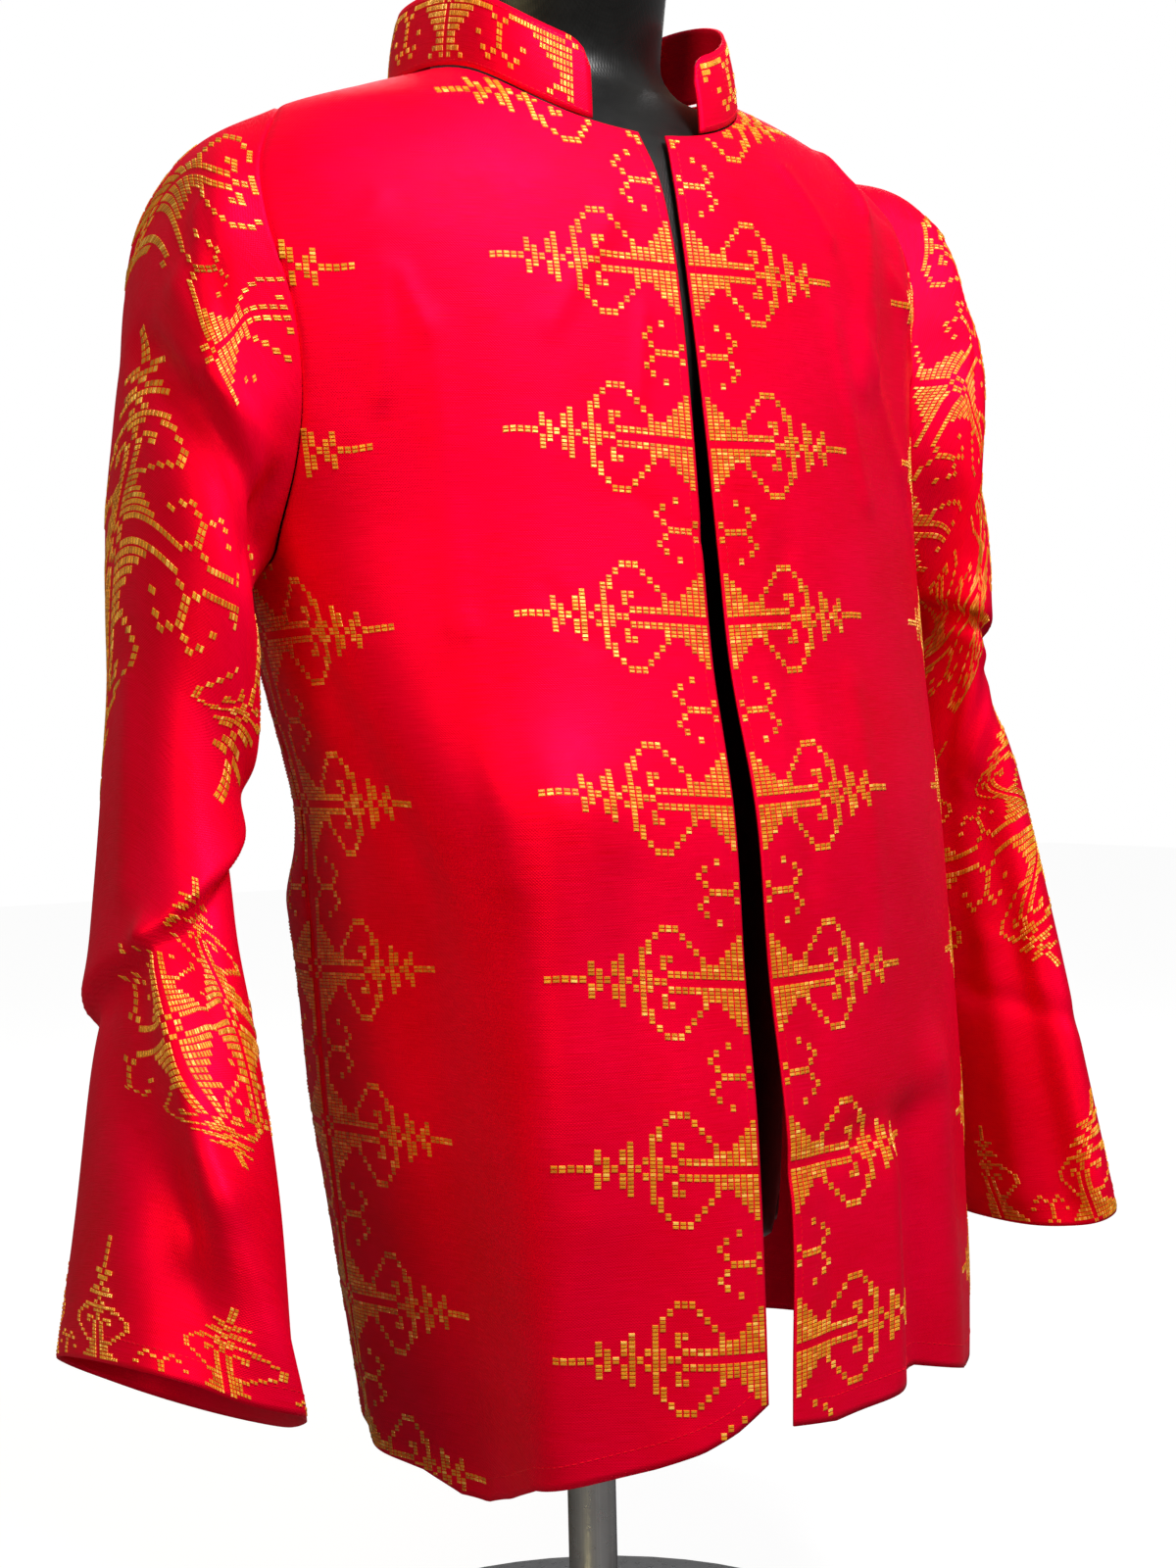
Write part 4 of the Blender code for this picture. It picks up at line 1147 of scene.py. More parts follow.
@dataclass(frozen=True)
class Finish:
    """A finish: its colours, gloss and the values of the effects it uses."""

    name: str
    slot: str
    light: tuple[float, float, float]
    deep: tuple[float, float, float]
    roughness: tuple[float, float]
    metallic: float = 0.0
    specular: float = 0.5
    sheen: float = 0.0
    sheen_tint: tuple[float, float, float] = (1.0, 1.0, 1.0)
    coat: float = 0.0
    thread: float = 0.0007
    relief: float = 0.5
    on_cloth: bool = True
    sheen_roughness: float = 0.35
    coat_roughness: float = 0.3
    relief_depth: float = 0.0004
    tone_spread: tuple[float, float] = (-0.6, 1.6)  # how far the thread and the handling move its colour

    def make(self, groups: dict[str, bpy.types.NodeTree]) -> bpy.types.Material:
        """The material, its colour, gloss and relief following the weave and the handling.

        Args:
            groups: the shared effects, by name.

        Returns:
            The material.
        """
        made = bpy.data.materials.new(self.name)
        made.use_nodes = True
        nodes = Nodes(made.node_tree)
        shader = made.node_tree.nodes["Principled BSDF"]
        where = nodes.add("ShaderNodeTexCoord").outputs["UV" if self.on_cloth else "Object"]
        weave = nodes.add("ShaderNodeGroup", node_tree=groups["weave"])
        weave.inputs["Thread"].default_value = self.thread
        nodes.link(where, weave.inputs["Vector"])
        handling = nodes.add("ShaderNodeGroup", node_tree=groups["handling"])
        nodes.link(where, handling.inputs["Vector"])
        nodes.link(self.colour(nodes, weave, handling), shader.inputs["Base Color"])
        nodes.link(nodes.spread(handling.outputs["Fine"], *self.roughness), shader.inputs["Roughness"])
        set_inputs(
            shader,
            {
                "Metallic": self.metallic,
                "Specular IOR Level": self.specular,
                "Sheen Weight": self.sheen,
                "Sheen Roughness": self.sheen_roughness,
                "Sheen Tint": (*self.sheen_tint, 1),
                "Coat Weight": self.coat,
                "Coat Roughness": self.coat_roughness,
            },
        )
        bump = nodes.add("ShaderNodeBump")
        set_inputs(bump, {"Strength": self.relief, "Distance": self.relief_depth})
        nodes.link(self.height(nodes, weave, handling), bump.inputs["Height"])
        nodes.link(bump.outputs[0], shader.inputs["Normal"])
        return made

    def colour(self, nodes: Nodes, weave: bpy.types.Node, handling: bpy.types.Node) -> bpy.types.NodeSocket:
        """The colour, lighter where the thread is thicker and the cloth less handled.

        Args:
            nodes: adds and links the material's nodes.
            weave: the weave's node.
            handling: the handling's node.

        Returns:
            The colour.
        """
        both = nodes.maths("ADD", weave.outputs["Slub"], handling.outputs["Broad"])
        share = nodes.maths("MULTIPLY", both, 0.5)
        return nodes.blend(nodes.spread(share, *self.tone_spread), self.deep, self.light)

    def height(self, nodes: Nodes, weave: bpy.types.Node, handling: bpy.types.Node) -> bpy.types.NodeSocket:
        """The relief of the surface."""
        return weave.outputs["Height"]


@dataclass(frozen=True)
class GoldFinish(Finish):
    """Gold weft floats: each thread has its own tone, and a few have a painted highlight, a pale glint in
    their colour.
    """

    painted_glint: tuple[float, float, float] = (1.0, 0.74, 0.18)
    painted_glint_from: float = 0.74  # the tone from which a thread gets the painted glint

    def colour(self, nodes: Nodes, weave: bpy.types.Node, handling: bpy.types.Node) -> bpy.types.NodeSocket:
        """The thread's own tone between deep and light, and a painted highlight in pale gold on the brightest
        threads.

        Args:
            nodes: adds and links the material's nodes.
            weave: the weave's node.
            handling: the handling's node.

        Returns:
            The colour.
        """
        tone = nodes.add("ShaderNodeAttribute", attribute_name="tone").outputs["Fac"]
        plain = nodes.blend(tone, self.deep, self.light)
        # painted highlight: the brightest threads' colour goes over to the pale glint colour
        painted_glint_share = nodes.add("ShaderNodeMapRange")
        painted_glint_share.inputs["From Min"].default_value = self.painted_glint_from
        nodes.link(tone, painted_glint_share.inputs["Value"])
        return nodes.blend(painted_glint_share.outputs[0], plain, self.painted_glint)


@dataclass(frozen=True)
class SteelFinish(Finish):
    """Brushed steel: fine rings round the form's axis and darker handled patches."""

    rings: float = 2600.0  # to a metre

    def height(self, nodes: Nodes, weave: bpy.types.Node, handling: bpy.types.Node) -> bpy.types.NodeSocket:
        """Brush marks that run round the axis.

        Args:
            nodes: adds and links the material's nodes.
            weave: the weave's node.
            handling: the handling's node.

        Returns:
            The relief.
        """
        where = nodes.add("ShaderNodeTexCoord").outputs["Object"]
        shift = nodes.add("ShaderNodeMapping")
        shift.inputs["Location"].default_value = tuple(-AXIS * MM)
        nodes.link(where, shift.inputs["Vector"])
        split = nodes.add("ShaderNodeSeparateXYZ")
        nodes.link(shift.outputs[0], split.inputs[0])
        squares = [nodes.maths("POWER", split.outputs[axis], 2.0) for axis in (0, 1)]
        out = nodes.maths("SQRT", nodes.maths("ADD", *squares))
        ring = nodes.add("ShaderNodeCombineXYZ")
        nodes.link(out, ring.inputs[0])
        nodes.link(split.outputs[2], ring.inputs[2])
        return nodes.noise(ring.outputs[0], self.rings)


SILK = Finish(
    "crimson_silk", "brocade", light=(1.0, 0.0, 0.046), deep=(0.74, 0.0, 0.010), roughness=(0.40, 0.55),
    metallic=0.45, specular=0.02, sheen=0.04, sheen_tint=(1.0, 0.0, 0.1), thread=0.0007, relief=0.35,
)  # fmt: skip
STITCHING = Finish(
    "crimson_thread", "brocade", light=(0.80, 0.0, 0.02), deep=(0.50, 0.0, 0.01), roughness=(0.4, 0.6),
    specular=0.25, sheen=0.2, sheen_tint=(1.0, 0.05, 0.2), thread=0.0004, relief=0.3,
)  # fmt: skip
GOLD = GoldFinish(
    "gold_thread", "brocade", light=(0.96, 0.45, 0.02), deep=(0.50, 0.15, 0.002), roughness=(0.22, 0.40),
    metallic=0.25, specular=0.6, thread=0.0003, relief=0.4,
)  # fmt: skip
JERSEY = Finish(
    "black_jersey", "black_jersey", light=(0.006, 0.006, 0.006), deep=(0.002, 0.002, 0.002),
    roughness=(0.30, 0.42), specular=0.35, sheen=0.06, coat=0.04, thread=0.0009, relief=0.15, on_cloth=False,
)  # fmt: skip
STEEL = SteelFinish(
    "brushed_steel", "steel", light=(0.62, 0.62, 0.63), deep=(0.42, 0.42, 0.43), roughness=(0.22, 0.36),
    metallic=1.0, thread=0.002, relief=0.2, on_cloth=False,
)  # fmt: skip


class Wardrobe:
    """The finishes, each made once, and the way a piece is finished and joined to the model."""

    def __init__(self) -> None:
        """Makes the shared effects."""
        self.groups = {"weave": weave_group(), "handling": handling_group()}
        self.made: dict[str, bpy.types.Material] = {}

    def material(self, finish: Finish) -> bpy.types.Material:
        """The material of a finish.

        Args:
            finish: the finish.

        Returns:
            The material, the same one each time.
        """
        if finish.name not in self.made:
            self.made[finish.name] = finish.make(self.groups)
        return self.made[finish.name]

    def dress(self, piece: bpy.types.Object, finish: Finish, *nodes: str) -> bpy.types.Object:
        """Gives a new piece its finish, its body and its material slot, and hides the nodes it stands for.

        Args:
            piece: the new piece.
            finish: its finish.
            nodes: the nodes that it stands for, if any.

        Returns:
            The piece.
        """
        piece.data.materials.append(self.material(finish))
        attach(piece, "root")
        if nodes:
            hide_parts(*nodes)
        LOG.info("%s: %d faces, %s", piece.name, len(piece.data.polygons), finish.name)
        return piece


@dataclass
class Patch:
    """A rectangle of cloth places: outer points, normals and flat places, rows up and columns to the left."""

    points: np.ndarray
    normals: np.ndarray
    flat: np.ndarray

    def lay(self, shape: bmesh.types.BMesh, map_layer: bmesh.types.BMLayerItem) -> None:
        """Adds the patch to a mesh as a grid moved onto its places, with its flat places as its map.

        Args:
            shape: the mesh it is added to.
            map_layer: the mesh's map.
        """
        rows, columns = self.points.shape[:2]
        grid = bmesh.ops.create_grid(shape, x_segments=columns - 1, y_segments=rows - 1, size=1.0)
        index = {}
        moved = place(self.points)
        for vertex in grid["verts"]:
            column = round((vertex.co.x + 1) / 2 * (columns - 1))
            row = round((vertex.co.y + 1) / 2 * (rows - 1))
            index[vertex] = (row, column)
            vertex.co = moved[row, column]
        faces = {face for vertex in grid["verts"] for face in vertex.link_faces}
        flat = self.flat * MM
        for face in faces:
            for loop in face.loops:
                loop[map_layer].uv = flat[index[loop.vert]]
        first = next(iter(faces))
        first.normal_update()
        if first.normal @ Vector(self.normals[index[first.loops[0].vert]]) < 0:
            bmesh.ops.reverse_faces(shape, faces=list(faces))


def cloth_piece(name: str, patches: Iterable[Patch], thickness: float = CLOTH) -> bpy.types.Object:
    """A sheet of cloth from its patches, welded where they meet, with its thickness inwards.

    Args:
        name: the sheet's name.
        patches: its patches.
        thickness: of the cloth, in mm.

    Returns:
        The sheet.
    """
    shape = bmesh.new()
    map_layer = shape.loops.layers.uv.new("flat")
    for patch in patches:
        patch.lay(shape, map_layer)
    bmesh.ops.remove_doubles(shape, verts=shape.verts, dist=WELD * MM)
    mesh = mesh_of(name, shape)
    mesh.shade_smooth()
    piece = placed(name, mesh)
    wall = piece.modifiers.new("thickness", "SOLIDIFY")
    wall.thickness = thickness * MM
    wall.offset = -1
    wall.use_even_offset = False
    return piece


@dataclass
class Threads:
    """Many short threads that lie on a surface, each a low bar with sloped sides."""

    name: str
    lies: np.ndarray  # each thread's middle and its half breadth and half height, on the flat cloth
    proud: float = 0.42
    sunk: float = 0.15
    top: tuple[float, float] = (0.8, 0.66)  # the flat top's share of the bar each way
    inset: float = 0.1  # marks a square's border off while its bar is raised
    seed: int = 3
    tones: tuple[float, float] = (2.2, 2.0)  # the two powers of the spread of the threads' tones

    def build(self, surface: Surface) -> bpy.types.Object:
        """Cuts one long strip into squares, raises each, and moves each to its place on the surface.

        Args:
            surface: the cloth's surface over its flat places.

        Returns:
            The piece of all the threads.
        """
        count = len(self.lies)
        shape = bmesh.new()
        longways = Matrix.Diagonal((count, 1, 1, 1))
        bmesh.ops.create_grid(shape, x_segments=count, y_segments=1, size=0.5, matrix=longways)
        bmesh.ops.split_edges(shape, edges=shape.edges[:])
        rim = bmesh.ops.inset_individual(shape, faces=shape.faces[:], thickness=self.inset, depth=0.0)
        bmesh.ops.delete(shape, geom=rim["faces"], context="FACES")
        bmesh.ops.inset_individual(shape, faces=shape.faces[:], thickness=self.inset, depth=1.0)
        mesh = mesh_of(self.name, shape)
        strip = np.empty(len(mesh.vertices) * 3)
        mesh.vertices.foreach_get("co", strip)
        strip = strip.reshape(-1, 3)
        at_place = np.clip(np.floor(strip[:, 0] + count / 2).astype(int), 0, count - 1)
        corner = np.sign(np.column_stack([strip[:, 0] + count / 2 - at_place - 0.5, strip[:, 1]]))
        raised = (np.abs(strip[:, 2]) > 0.5).astype(float)[:, None]
        corner *= 1 - raised * (1 - np.array(self.top))
        middle, wide, high = self.lies[at_place, :2], self.lies[at_place, 2:4], self.lies[at_place, 4:]
        flat = middle + corner[:, :1] * wide + corner[:, 1:] * high
        points, normals = surface(flat[:, 0], flat[:, 1])
        lift = self.proud * raised - self.sunk * (1 - raised)
        mesh.vertices.foreach_set("co", place(points + normals * lift).ravel())
        tones = np.random.default_rng(self.seed).beta(*self.tones, count)
        tone = mesh.attributes.new("tone", "FLOAT", "POINT")
        tone.data.foreach_set("value", tones[at_place].astype(np.float32))
        loops = np.empty(len(mesh.loops), int)
        mesh.loops.foreach_get("vertex_index", loops)
        mesh.uv_layers.new(name="flat").data.foreach_set("uv", (flat[loops] * MM).ravel())
        self.face_outwards(mesh, normals)
        return placed(self.name, mesh)

    def face_outwards(self, mesh: bpy.types.Mesh, normals: np.ndarray) -> None:
        """Turns round the faces of the threads that came to lie face down.

        Args:
            mesh: the threads.
            normals: the cloth's normal at each of their corners.
        """
        mesh.update()
        shape = bmesh.new()
        shape.from_mesh(mesh)
        shape.faces.ensure_lookup_table()
        down = [face for face in shape.faces if face.normal @ Vector(normals[face.verts[0].index]) < 0]
        bmesh.ops.reverse_faces(shape, faces=down)
        shape.to_mesh(mesh)
        shape.free()


def gold_threads(
    bands: Iterable[Band], covers: Callable[[np.ndarray], np.ndarray], surface: Surface
) -> np.ndarray:
    """The gold threads of some bands that lie whole on the cloth.

    Args:
        bands: the bands.
        covers: which flat places the cloth covers.
        surface: the cloth's surface over its flat places.

    Returns:
        The threads, as Band.threads gives them.
    """
    threads = np.concatenate([band.threads() for band in bands])
    threads = threads[covers(threads[:, :2])]
    whole = np.ones(len(threads), bool)
    for half in (threads[:, 2:4], threads[:, 4:]):
        ends = [surface(*(threads[:, :2] + half * way).T)[0] for way in (1, -1)]
        span = np.linalg.norm(ends[0] - ends[1], axis=1) / np.linalg.norm(2 * half, axis=1)
        whole &= (span > SPAN_LEAST) & (span < SPAN_MOST)
    return threads[whole]


def stitches(line: np.ndarray, pitch: float = 3.2, half: tuple[float, float] = (1.05, 0.2)) -> np.ndarray:
    """A row of stitches along a line of flat places.

    Args:
        line: the line's places.
        pitch: from one stitch to the next.
        half: half a stitch's length and thickness.

    Returns:
        The stitches, as Band.threads gives threads.
    """
    length = run_along(line)
    stops = np.arange(pitch, length[-1] - pitch, pitch)
    ends = []
    for off in (-1, 1):
        ends.append(np.column_stack([np.interp(stops + off, length, line[:, axis]) for axis in (0, 1)]))
    along = (ends[1] - ends[0]) / 2
    across = along[:, ::-1] * (-1, 1)
    return np.concatenate([(ends[0] + ends[1]) / 2, along * half[0], across * half[1]], axis=1)


def inside(outline: np.ndarray, places: np.ndarray) -> np.ndarray:
    """Which flat places lie inside a closed outline.

    Args:
        outline: the outline's corners in order.
        places: flat places, one to a row.

    Returns:
        Whether each is inside.
    """
    found = np.zeros(len(places), bool)
    for start, end in zip(outline, np.roll(outline, -1, axis=0)):
        crosses = (start[1] > places[:, 1]) != (end[1] > places[:, 1])
        rise = end[1] - start[1]
        if abs(rise) < LEVEL:
            continue
        left = start[0] + (places[:, 1] - start[1]) / rise * (end[0] - start[0])
        found ^= crosses & (places[:, 0] < left)
    return found


def well_inside(outlines: Sequence[np.ndarray], places: np.ndarray) -> np.ndarray:
    """Which flat places lie inside some closed outlines taken together, clear of their edge.

    Args:
        outlines: the outlines' corners in order.
        places: flat places, one to a row.

    Returns:
        Whether each is well inside.
    """
    found = np.ones(len(places), bool)
    for shift in ((EDGE_MARGIN, 0), (-EDGE_MARGIN, 0), (0, EDGE_MARGIN), (0, -EDGE_MARGIN)):
        found &= np.any([inside(outline, places + np.array(shift)) for outline in outlines], axis=0)
    return found


@dataclass
class Panel:
    """A quarter of the jacket's body, from its open edge or the middle of the back to the side seam.

    Its flat places are a distance from that middle line (in front, from the wearer's middle) and a height.
    """

    body: BodyShape
    side: Side
    behind: bool
    low_rows: int = 112
    high_rows: int = 66
    neck_rows: int = 24
    columns: int = 74
    seam_dip: float = 1.1
    seam_reach: float = 2.6
    near_seam: tuple[float, float] = (0.35, 0.65)  # columns added by each edge, in steps of the even ones
    row_places: int = 121  # at which a slanting row is measured

    def middle_edge(self, part: float) -> tuple[float, float]:
        """Turn and height up the middle edge above the armpit's level, and on along the neckline.

        Args:
            part: from 0 at the armpit's level to 1.

        Returns:
            The turn and the height.
        """
        straight = 1 - self.neck_rows / self.high_rows
        top = NECK_BACK if self.behind else NECK_FRONT
        if part > straight:
            edge = float(self.body.opening(np.array(NECK_FRONT), self.side))
            start = 0.0 if self.behind else math.asin(edge / self.body.neck_half_width) / (math.pi / 2)
            share = start + (1 - start) * (part - straight) / (1 - straight)
            return self.body.neck_point(share, self.behind, self.side)
        height = ARMPIT + (top - ARMPIT) * part / straight
        total = float(self.body.total(height))
        distance = total / 2 if self.behind else float(self.body.opening(np.array(height), self.side))
        distance *= self.side.handed
        return float(self.body.turn_at(np.array(distance), np.array(height))), height

    def spacing(self, count: int) -> np.ndarray:
        """Shares across the panel, closer together at both edges so that the seams are crisp.

        Args:
            count: how many spaces there are.

        Returns:
            The shares, from 0 to 1.
        """
        steps = count - 2 * len(self.near_seam)
        near = np.array(self.near_seam) / steps
        return np.sort(np.concatenate([np.linspace(0, 1, steps + 1), near, 1 - near]))

    def even_row(self, start: tuple[float, float], end: tuple[float, float]) -> tuple[np.ndarray, np.ndarray]:
        """Turns and heights of the row's places from one (turn, height) to another.

        Args:
            start: the row's start.
            end: and its end.

        Returns:
            The turns and the heights.
        """
        part = np.linspace(0, 1, self.row_places)
        turn = start[0] + (end[0] - start[0]) * part
        height = start[1] + (end[1] - start[1]) * part
        length = run_along(self.body.smooth(turn, height))
        found = np.interp(self.spacing(self.columns) * length[-1], length, part)
        return start[0] + (end[0] - start[0]) * found, start[1] + (end[1] - start[1]) * found

    def grid(self) -> tuple[np.ndarray, np.ndarray]:
        """Turns and heights of the panel's places, rows up and columns from the middle to the side.

        Returns:
            The turns and the heights.
        """
        share = self.spacing(self.columns)
        right = self.side is Side.RIGHT
        rows = []
        for row in range(self.low_rows):
            round_share = 0.5 - 0.25 * share if self.behind else 0.25 * share
            low = self.body.hem(round_share if right else 1 - round_share)
            height = low + (ARMPIT - low) * row / self.low_rows
            total = self.body.total(height)
            start = total / 2 if self.behind else self.body.opening(height, self.side)
            distance = start + (QUARTER - start) * share
            rows.append((self.body.turn_at(distance * self.side.handed, height), height))
        for row in range(self.high_rows + 1):
            part = row / self.high_rows
            armhole = self.body.armhole(part, self.behind, self.side)
            rows.append(self.even_row(self.middle_edge(part), armhole))
        return np.array([row[0] for row in rows]), np.array([row[1] for row in rows])

    def flat(self, turn: np.ndarray, height: np.ndarray) -> np.ndarray:
        """Flat places of turns and heights.

        Args:
            turn: turns round the form, in degrees.
            height: heights on it.

        Returns:
            The flat places, along a new last axis.
        """
        distance = np.abs(self.body.around(turn, height))
        if self.behind:
            distance = self.body.total(height) / 2 - distance
        return np.stack([distance * self.side.handed, height], axis=-1)

    def patch(self) -> Patch:
        """The panel's places, sunk a little along its seams.

        Returns:
            The patch.
        """
        turn, height = self.grid()
        points, normals = self.body.surface(turn, height)
        flat = self.flat(turn, height)
        dip = np.zeros(turn.shape)
        for edge in (points[:, -1:], points[-1:]):
            away = np.linalg.norm(points - edge, axis=-1)
            dip = np.maximum(dip, np.exp(-((away / self.seam_reach) ** 2)))
        points = points - normals * (self.seam_dip * dip)[..., None]
        mirrored = self.side is Side.RIGHT if self.behind else self.side is Side.LEFT
        if mirrored:
            points, normals, flat = points[:, ::-1], normals[:, ::-1], flat[:, ::-1]
        return Patch(points, normals, flat)

    def outline(self) -> np.ndarray:
        """The panel's edge as flat places."""
        flat = self.flat(*self.grid())
        return np.concatenate([flat[0], flat[1:-1, -1], flat[-1, ::-1], flat[-2:0:-1, 0]])

    def surface(self, first: np.ndarray, second: np.ndarray) -> tuple[np.ndarray, np.ndarray]:
        """Outer points and normals at flat places.

        Args:
            first: flat distances.
            second: and heights.

        Returns:
            The points and the normals.
        """
        if self.behind:
            return self.body.flat_surface(self.body.total(second) / 2 - first, second)
        return self.body.flat_surface(first, second)

    def covers(self, places: np.ndarray) -> np.ndarray:
        """Which flat places lie on the panel, clear of its edge."""
        return well_inside([self.outline()], places)


@dataclass
class Jacket:
    """The barong: two fronts, a back, two sleeves and a stand collar, with their gold and stitching."""

    wardrobe: Wardrobe
    figure_height: float = 213.0  # of the lowest whole figure's middle on the fronts
    edge_cut: float = 6.0  # how much of the front band is cut away at each open edge
    hem_depth: float = 12.0  # from a hem's edge to its stitches
    edge_depth: float = 5.0
    front_cut: tuple[float, float] = (0.292, 0.715)  # width and length of the cloth of each piece, in metres
    back_cut: tuple[float, float] = (0.62, 0.72)
    sleeve_cut: tuple[float, float] = (0.46, 0.655)
    tuck_reach: float = 2.4  # of a sleeve's seam allowance, under the body's cloth
    tuck_depth: float = 1.5
    body_rows: tuple[float, float] = (-26, 176)
    low_rows: tuple[float, float] = (-26, 156)  # of a band that ends under the shoulder
    sleeve_columns: int = 120
    sleeve_rows: int = 220
    sleeve_start: float = 0.0015  # the share at which a sleeve's rows begin
    sleeve_shares: tuple[float, float] = (0.006, 0.997)  # between which its gold lies
    sleeve_turn: float = 179.0  # and how far round
    sleeve_near: float = 0.6  # how nearly a gold thread's flat place has to be found again on it
    collar_columns: int = 150
    collar_rows: int = 14
    collar_cloth: float = 1.8
    collar_figure: float = 95.0  # from the collar's right end to a figure's middle
    collar_band: tuple[float, float] = (-40, 160)
    collar_ends: float = 7.0  # how far its gold stays from the ends, the foot and the top
    collar_foot: float = 2.0
    collar_top: float = 1.5
    sewing_proud: float = 0.22

    def __post_init__(self) -> None:
        """Measures the shapes."""
        self.body = BodyShape(folds=BODY_FOLDS + BODY_CREASES)
        self.collar_shape = CollarShape(self.body)

    def build(self) -> None:
        """Makes and dresses every piece of the jacket."""
        self.front("front_right", Side.RIGHT)
        self.front("front_left", Side.LEFT)
        self.back("back")
        right, left = sleeve_bands(RIGHT_LIES, RIGHT_SHOWN), sleeve_bands(LEFT_LIES, LEFT_SHOWN)
        self.sleeve("sleeve_right", Side.RIGHT, SLEEVE_RIGHT, RIGHT_FOLDS + RIGHT_CREASES, right)
        self.sleeve("sleeve_left", Side.LEFT, SLEEVE_LEFT, LEFT_FOLDS + LEFT_CREASES, left)
        self.collar("collar")

    def finish(
        self,
        name: str,
        patches: list[Patch],
        gold: np.ndarray,
        seams: np.ndarray,
        surface: Surface,
        size: tuple[float, float],
        rests_on: Sequence[str],
        thickness: float = CLOTH,
    ) -> None:
        """Args:
            name: the CAD node that the sheet stands for.
            patches: the sheet's patches.
            gold: its gold threads.
            seams: its stitches.
            surface: the sheet's surface over its flat places.
            size: width and length of the cloth it was cut from, in metres; not used.
            rests_on: the nodes and pieces that it lies on; not used.
            thickness: of the cloth, in mm.
        """
        sheet = self.wardrobe.dress(cloth_piece(f"{name}_cloth", patches, thickness), SILK, name)
        figures = self.wardrobe.dress(Threads(f"{name}_gold", gold).build(surface), GOLD)
        sewing = Threads(f"{name}_stitches", seams, proud=self.sewing_proud).build(surface)
        self.wardrobe.dress(sewing, STITCHING)

    def side_middle(self, height: np.ndarray, side: Side) -> np.ndarray:
        """Distance round to the middle of the side seam's band.

        Args:
            height: heights on the body.
            side: the wearer's side.

        Returns:
            The distances, negative on the wearer's left.
        """
        if side is Side.LEFT:
            return -np.interp(height, SIDE_HEIGHTS, SIDE_LEFT)
        return np.interp(height, SIDE_HEIGHTS, SIDE_RIGHT)

    def body_lie(self, middle: Callable[[np.ndarray], np.ndarray], behind: bool) -> Lie:
        """How a band up the body lies.

        Args:
            middle: the distance round, from the front, of the band's middle at each height.
            behind: whether the flat places are counted from the middle of the back.

        Returns:
            The lie.
        """

        def lie(row: np.ndarray, column: np.ndarray) -> np.ndarray:
            """Flat places of rows and columns.

            Args:
                row: rows of the weave.
                column: and its columns.

            Returns:
                The flat places, one to a row.
            """
            height = self.figure_height + row * CHART.row
            distance = middle(height) + column * CHART.column
            level = np.interp(height, DRIFT_HEIGHTS, np.arange(len(DRIFT_HEIGHTS)))
            place_round = np.interp(distance, DRIFT_ROUND, np.arange(len(DRIFT_ROUND)))
            height = height + between_cells(np.array(DRIFT, float), level, place_round)
            if behind:
                distance = self.body.total(height) / 2 - distance
            return np.column_stack([distance, height])

        return lie

    def front(self, name: str, side: Side) -> None:
        """One front.

        Args:
            name: the node that it stands for.
            side: the wearer's side.
        """
        panel = Panel(self.body, side, False)
        way = side.handed

        def edge_middle(height: np.ndarray) -> np.ndarray:
            """Distance round to the middle of the open edge's band."""
            return way * (self.body.opening(height, side) - self.edge_cut)

        bands = (
            Band(self.body_lie(edge_middle, False), self.body_rows, Way(way)),
            Band(self.body_lie(lambda height: self.side_middle(height, side), False), self.low_rows),
        )
        flat = panel.flat(*panel.grid())
        hem = flat[0] + (0, self.hem_depth)
        rise = flat[: panel.low_rows + panel.high_rows - panel.neck_rows, 0]
        edge = rise[rise[:, 1] > hem[0, 1]] + (way * self.edge_depth, 0)
        seams = np.concatenate([stitches(hem[hem[:, 0] * way > edge[0, 0] * way]), stitches(edge)])
        gold = gold_threads(bands, panel.covers, panel.surface)
        self.finish(name, [panel.patch()], gold, seams, panel.surface, self.front_cut, ["dress_form"])

    def back(self, name: str) -> None:
        """The back, its two halves woven as one piece.

        Args:
            name: the node that it stands for.
        """
        panels = [Panel(self.body, side, True) for side in (Side.RIGHT, Side.LEFT)]
        bands = (
            Band(self.back_middle, self.low_rows),
            Band(self.body_lie(lambda height: self.side_middle(height, Side.RIGHT), True), self.low_rows),
            Band(self.body_lie(self.left_side, True), self.low_rows),
        )
        outlines = [panel.outline() for panel in panels]
        surface = panels[0].surface
        gold = gold_threads(bands, lambda places: well_inside(outlines, places), surface)
        hems = [stitches(panel.flat(*panel.grid())[0] + (0, self.hem_depth)) for panel in panels]
        patches = [panel.patch() for panel in panels]
        self.finish(name, patches, gold, np.concatenate(hems), surface, self.back_cut, ["dress_form"])

    def back_middle(self, row: np.ndarray, column: np.ndarray) -> np.ndarray:
        """How the band up the middle of the back lies."""
        return np.column_stack([column * CHART.column, self.figure_height + row * CHART.row])

    def left_side(self, height: np.ndarray) -> np.ndarray:
        """Distance round to the middle of the left side's band, on past the middle of the back."""
        return self.body.total(height) + self.side_middle(height, Side.LEFT)

    def sleeve(
        self,
        name: str,
        side: Side,
        stations: tuple[tuple[float, ...], ...],
        folds: tuple[tuple[float, ...], ...],
        bands: Sequence[Band],
    ) -> None:
        """One sleeve, its cloth turned so that the figures' bands run round the arm.

        Args:
            name: the node that it stands for.
            side: the wearer's side.
            stations: the sleeve's sections.
            folds: its folds and creases.
            bands: its bands of figures.
        """
        shape = SleeveShape(self.body, side, stations, folds)
        turns = np.linspace(-180, 180, self.sleeve_columns + 1)
        shares = np.linspace(self.sleeve_start, 1, self.sleeve_rows + 1)
        turn, share = np.meshgrid(turns, shares)
        points, normals = shape.surface(turn, share)
        flat = np.stack(shape.cloth_at(turn, share), axis=-1)
        out = points[0] - points[1]
        out /= np.linalg.norm(out, axis=-1, keepdims=True)
        tucked = points[0] + out * self.tuck_reach - normals[0] * self.tuck_depth
        patch = Patch(
            np.concatenate([tucked[None], points]),
            np.concatenate([normals[:1], normals]),
            np.concatenate([flat[:1] - (0, self.tuck_reach), flat]),
        )

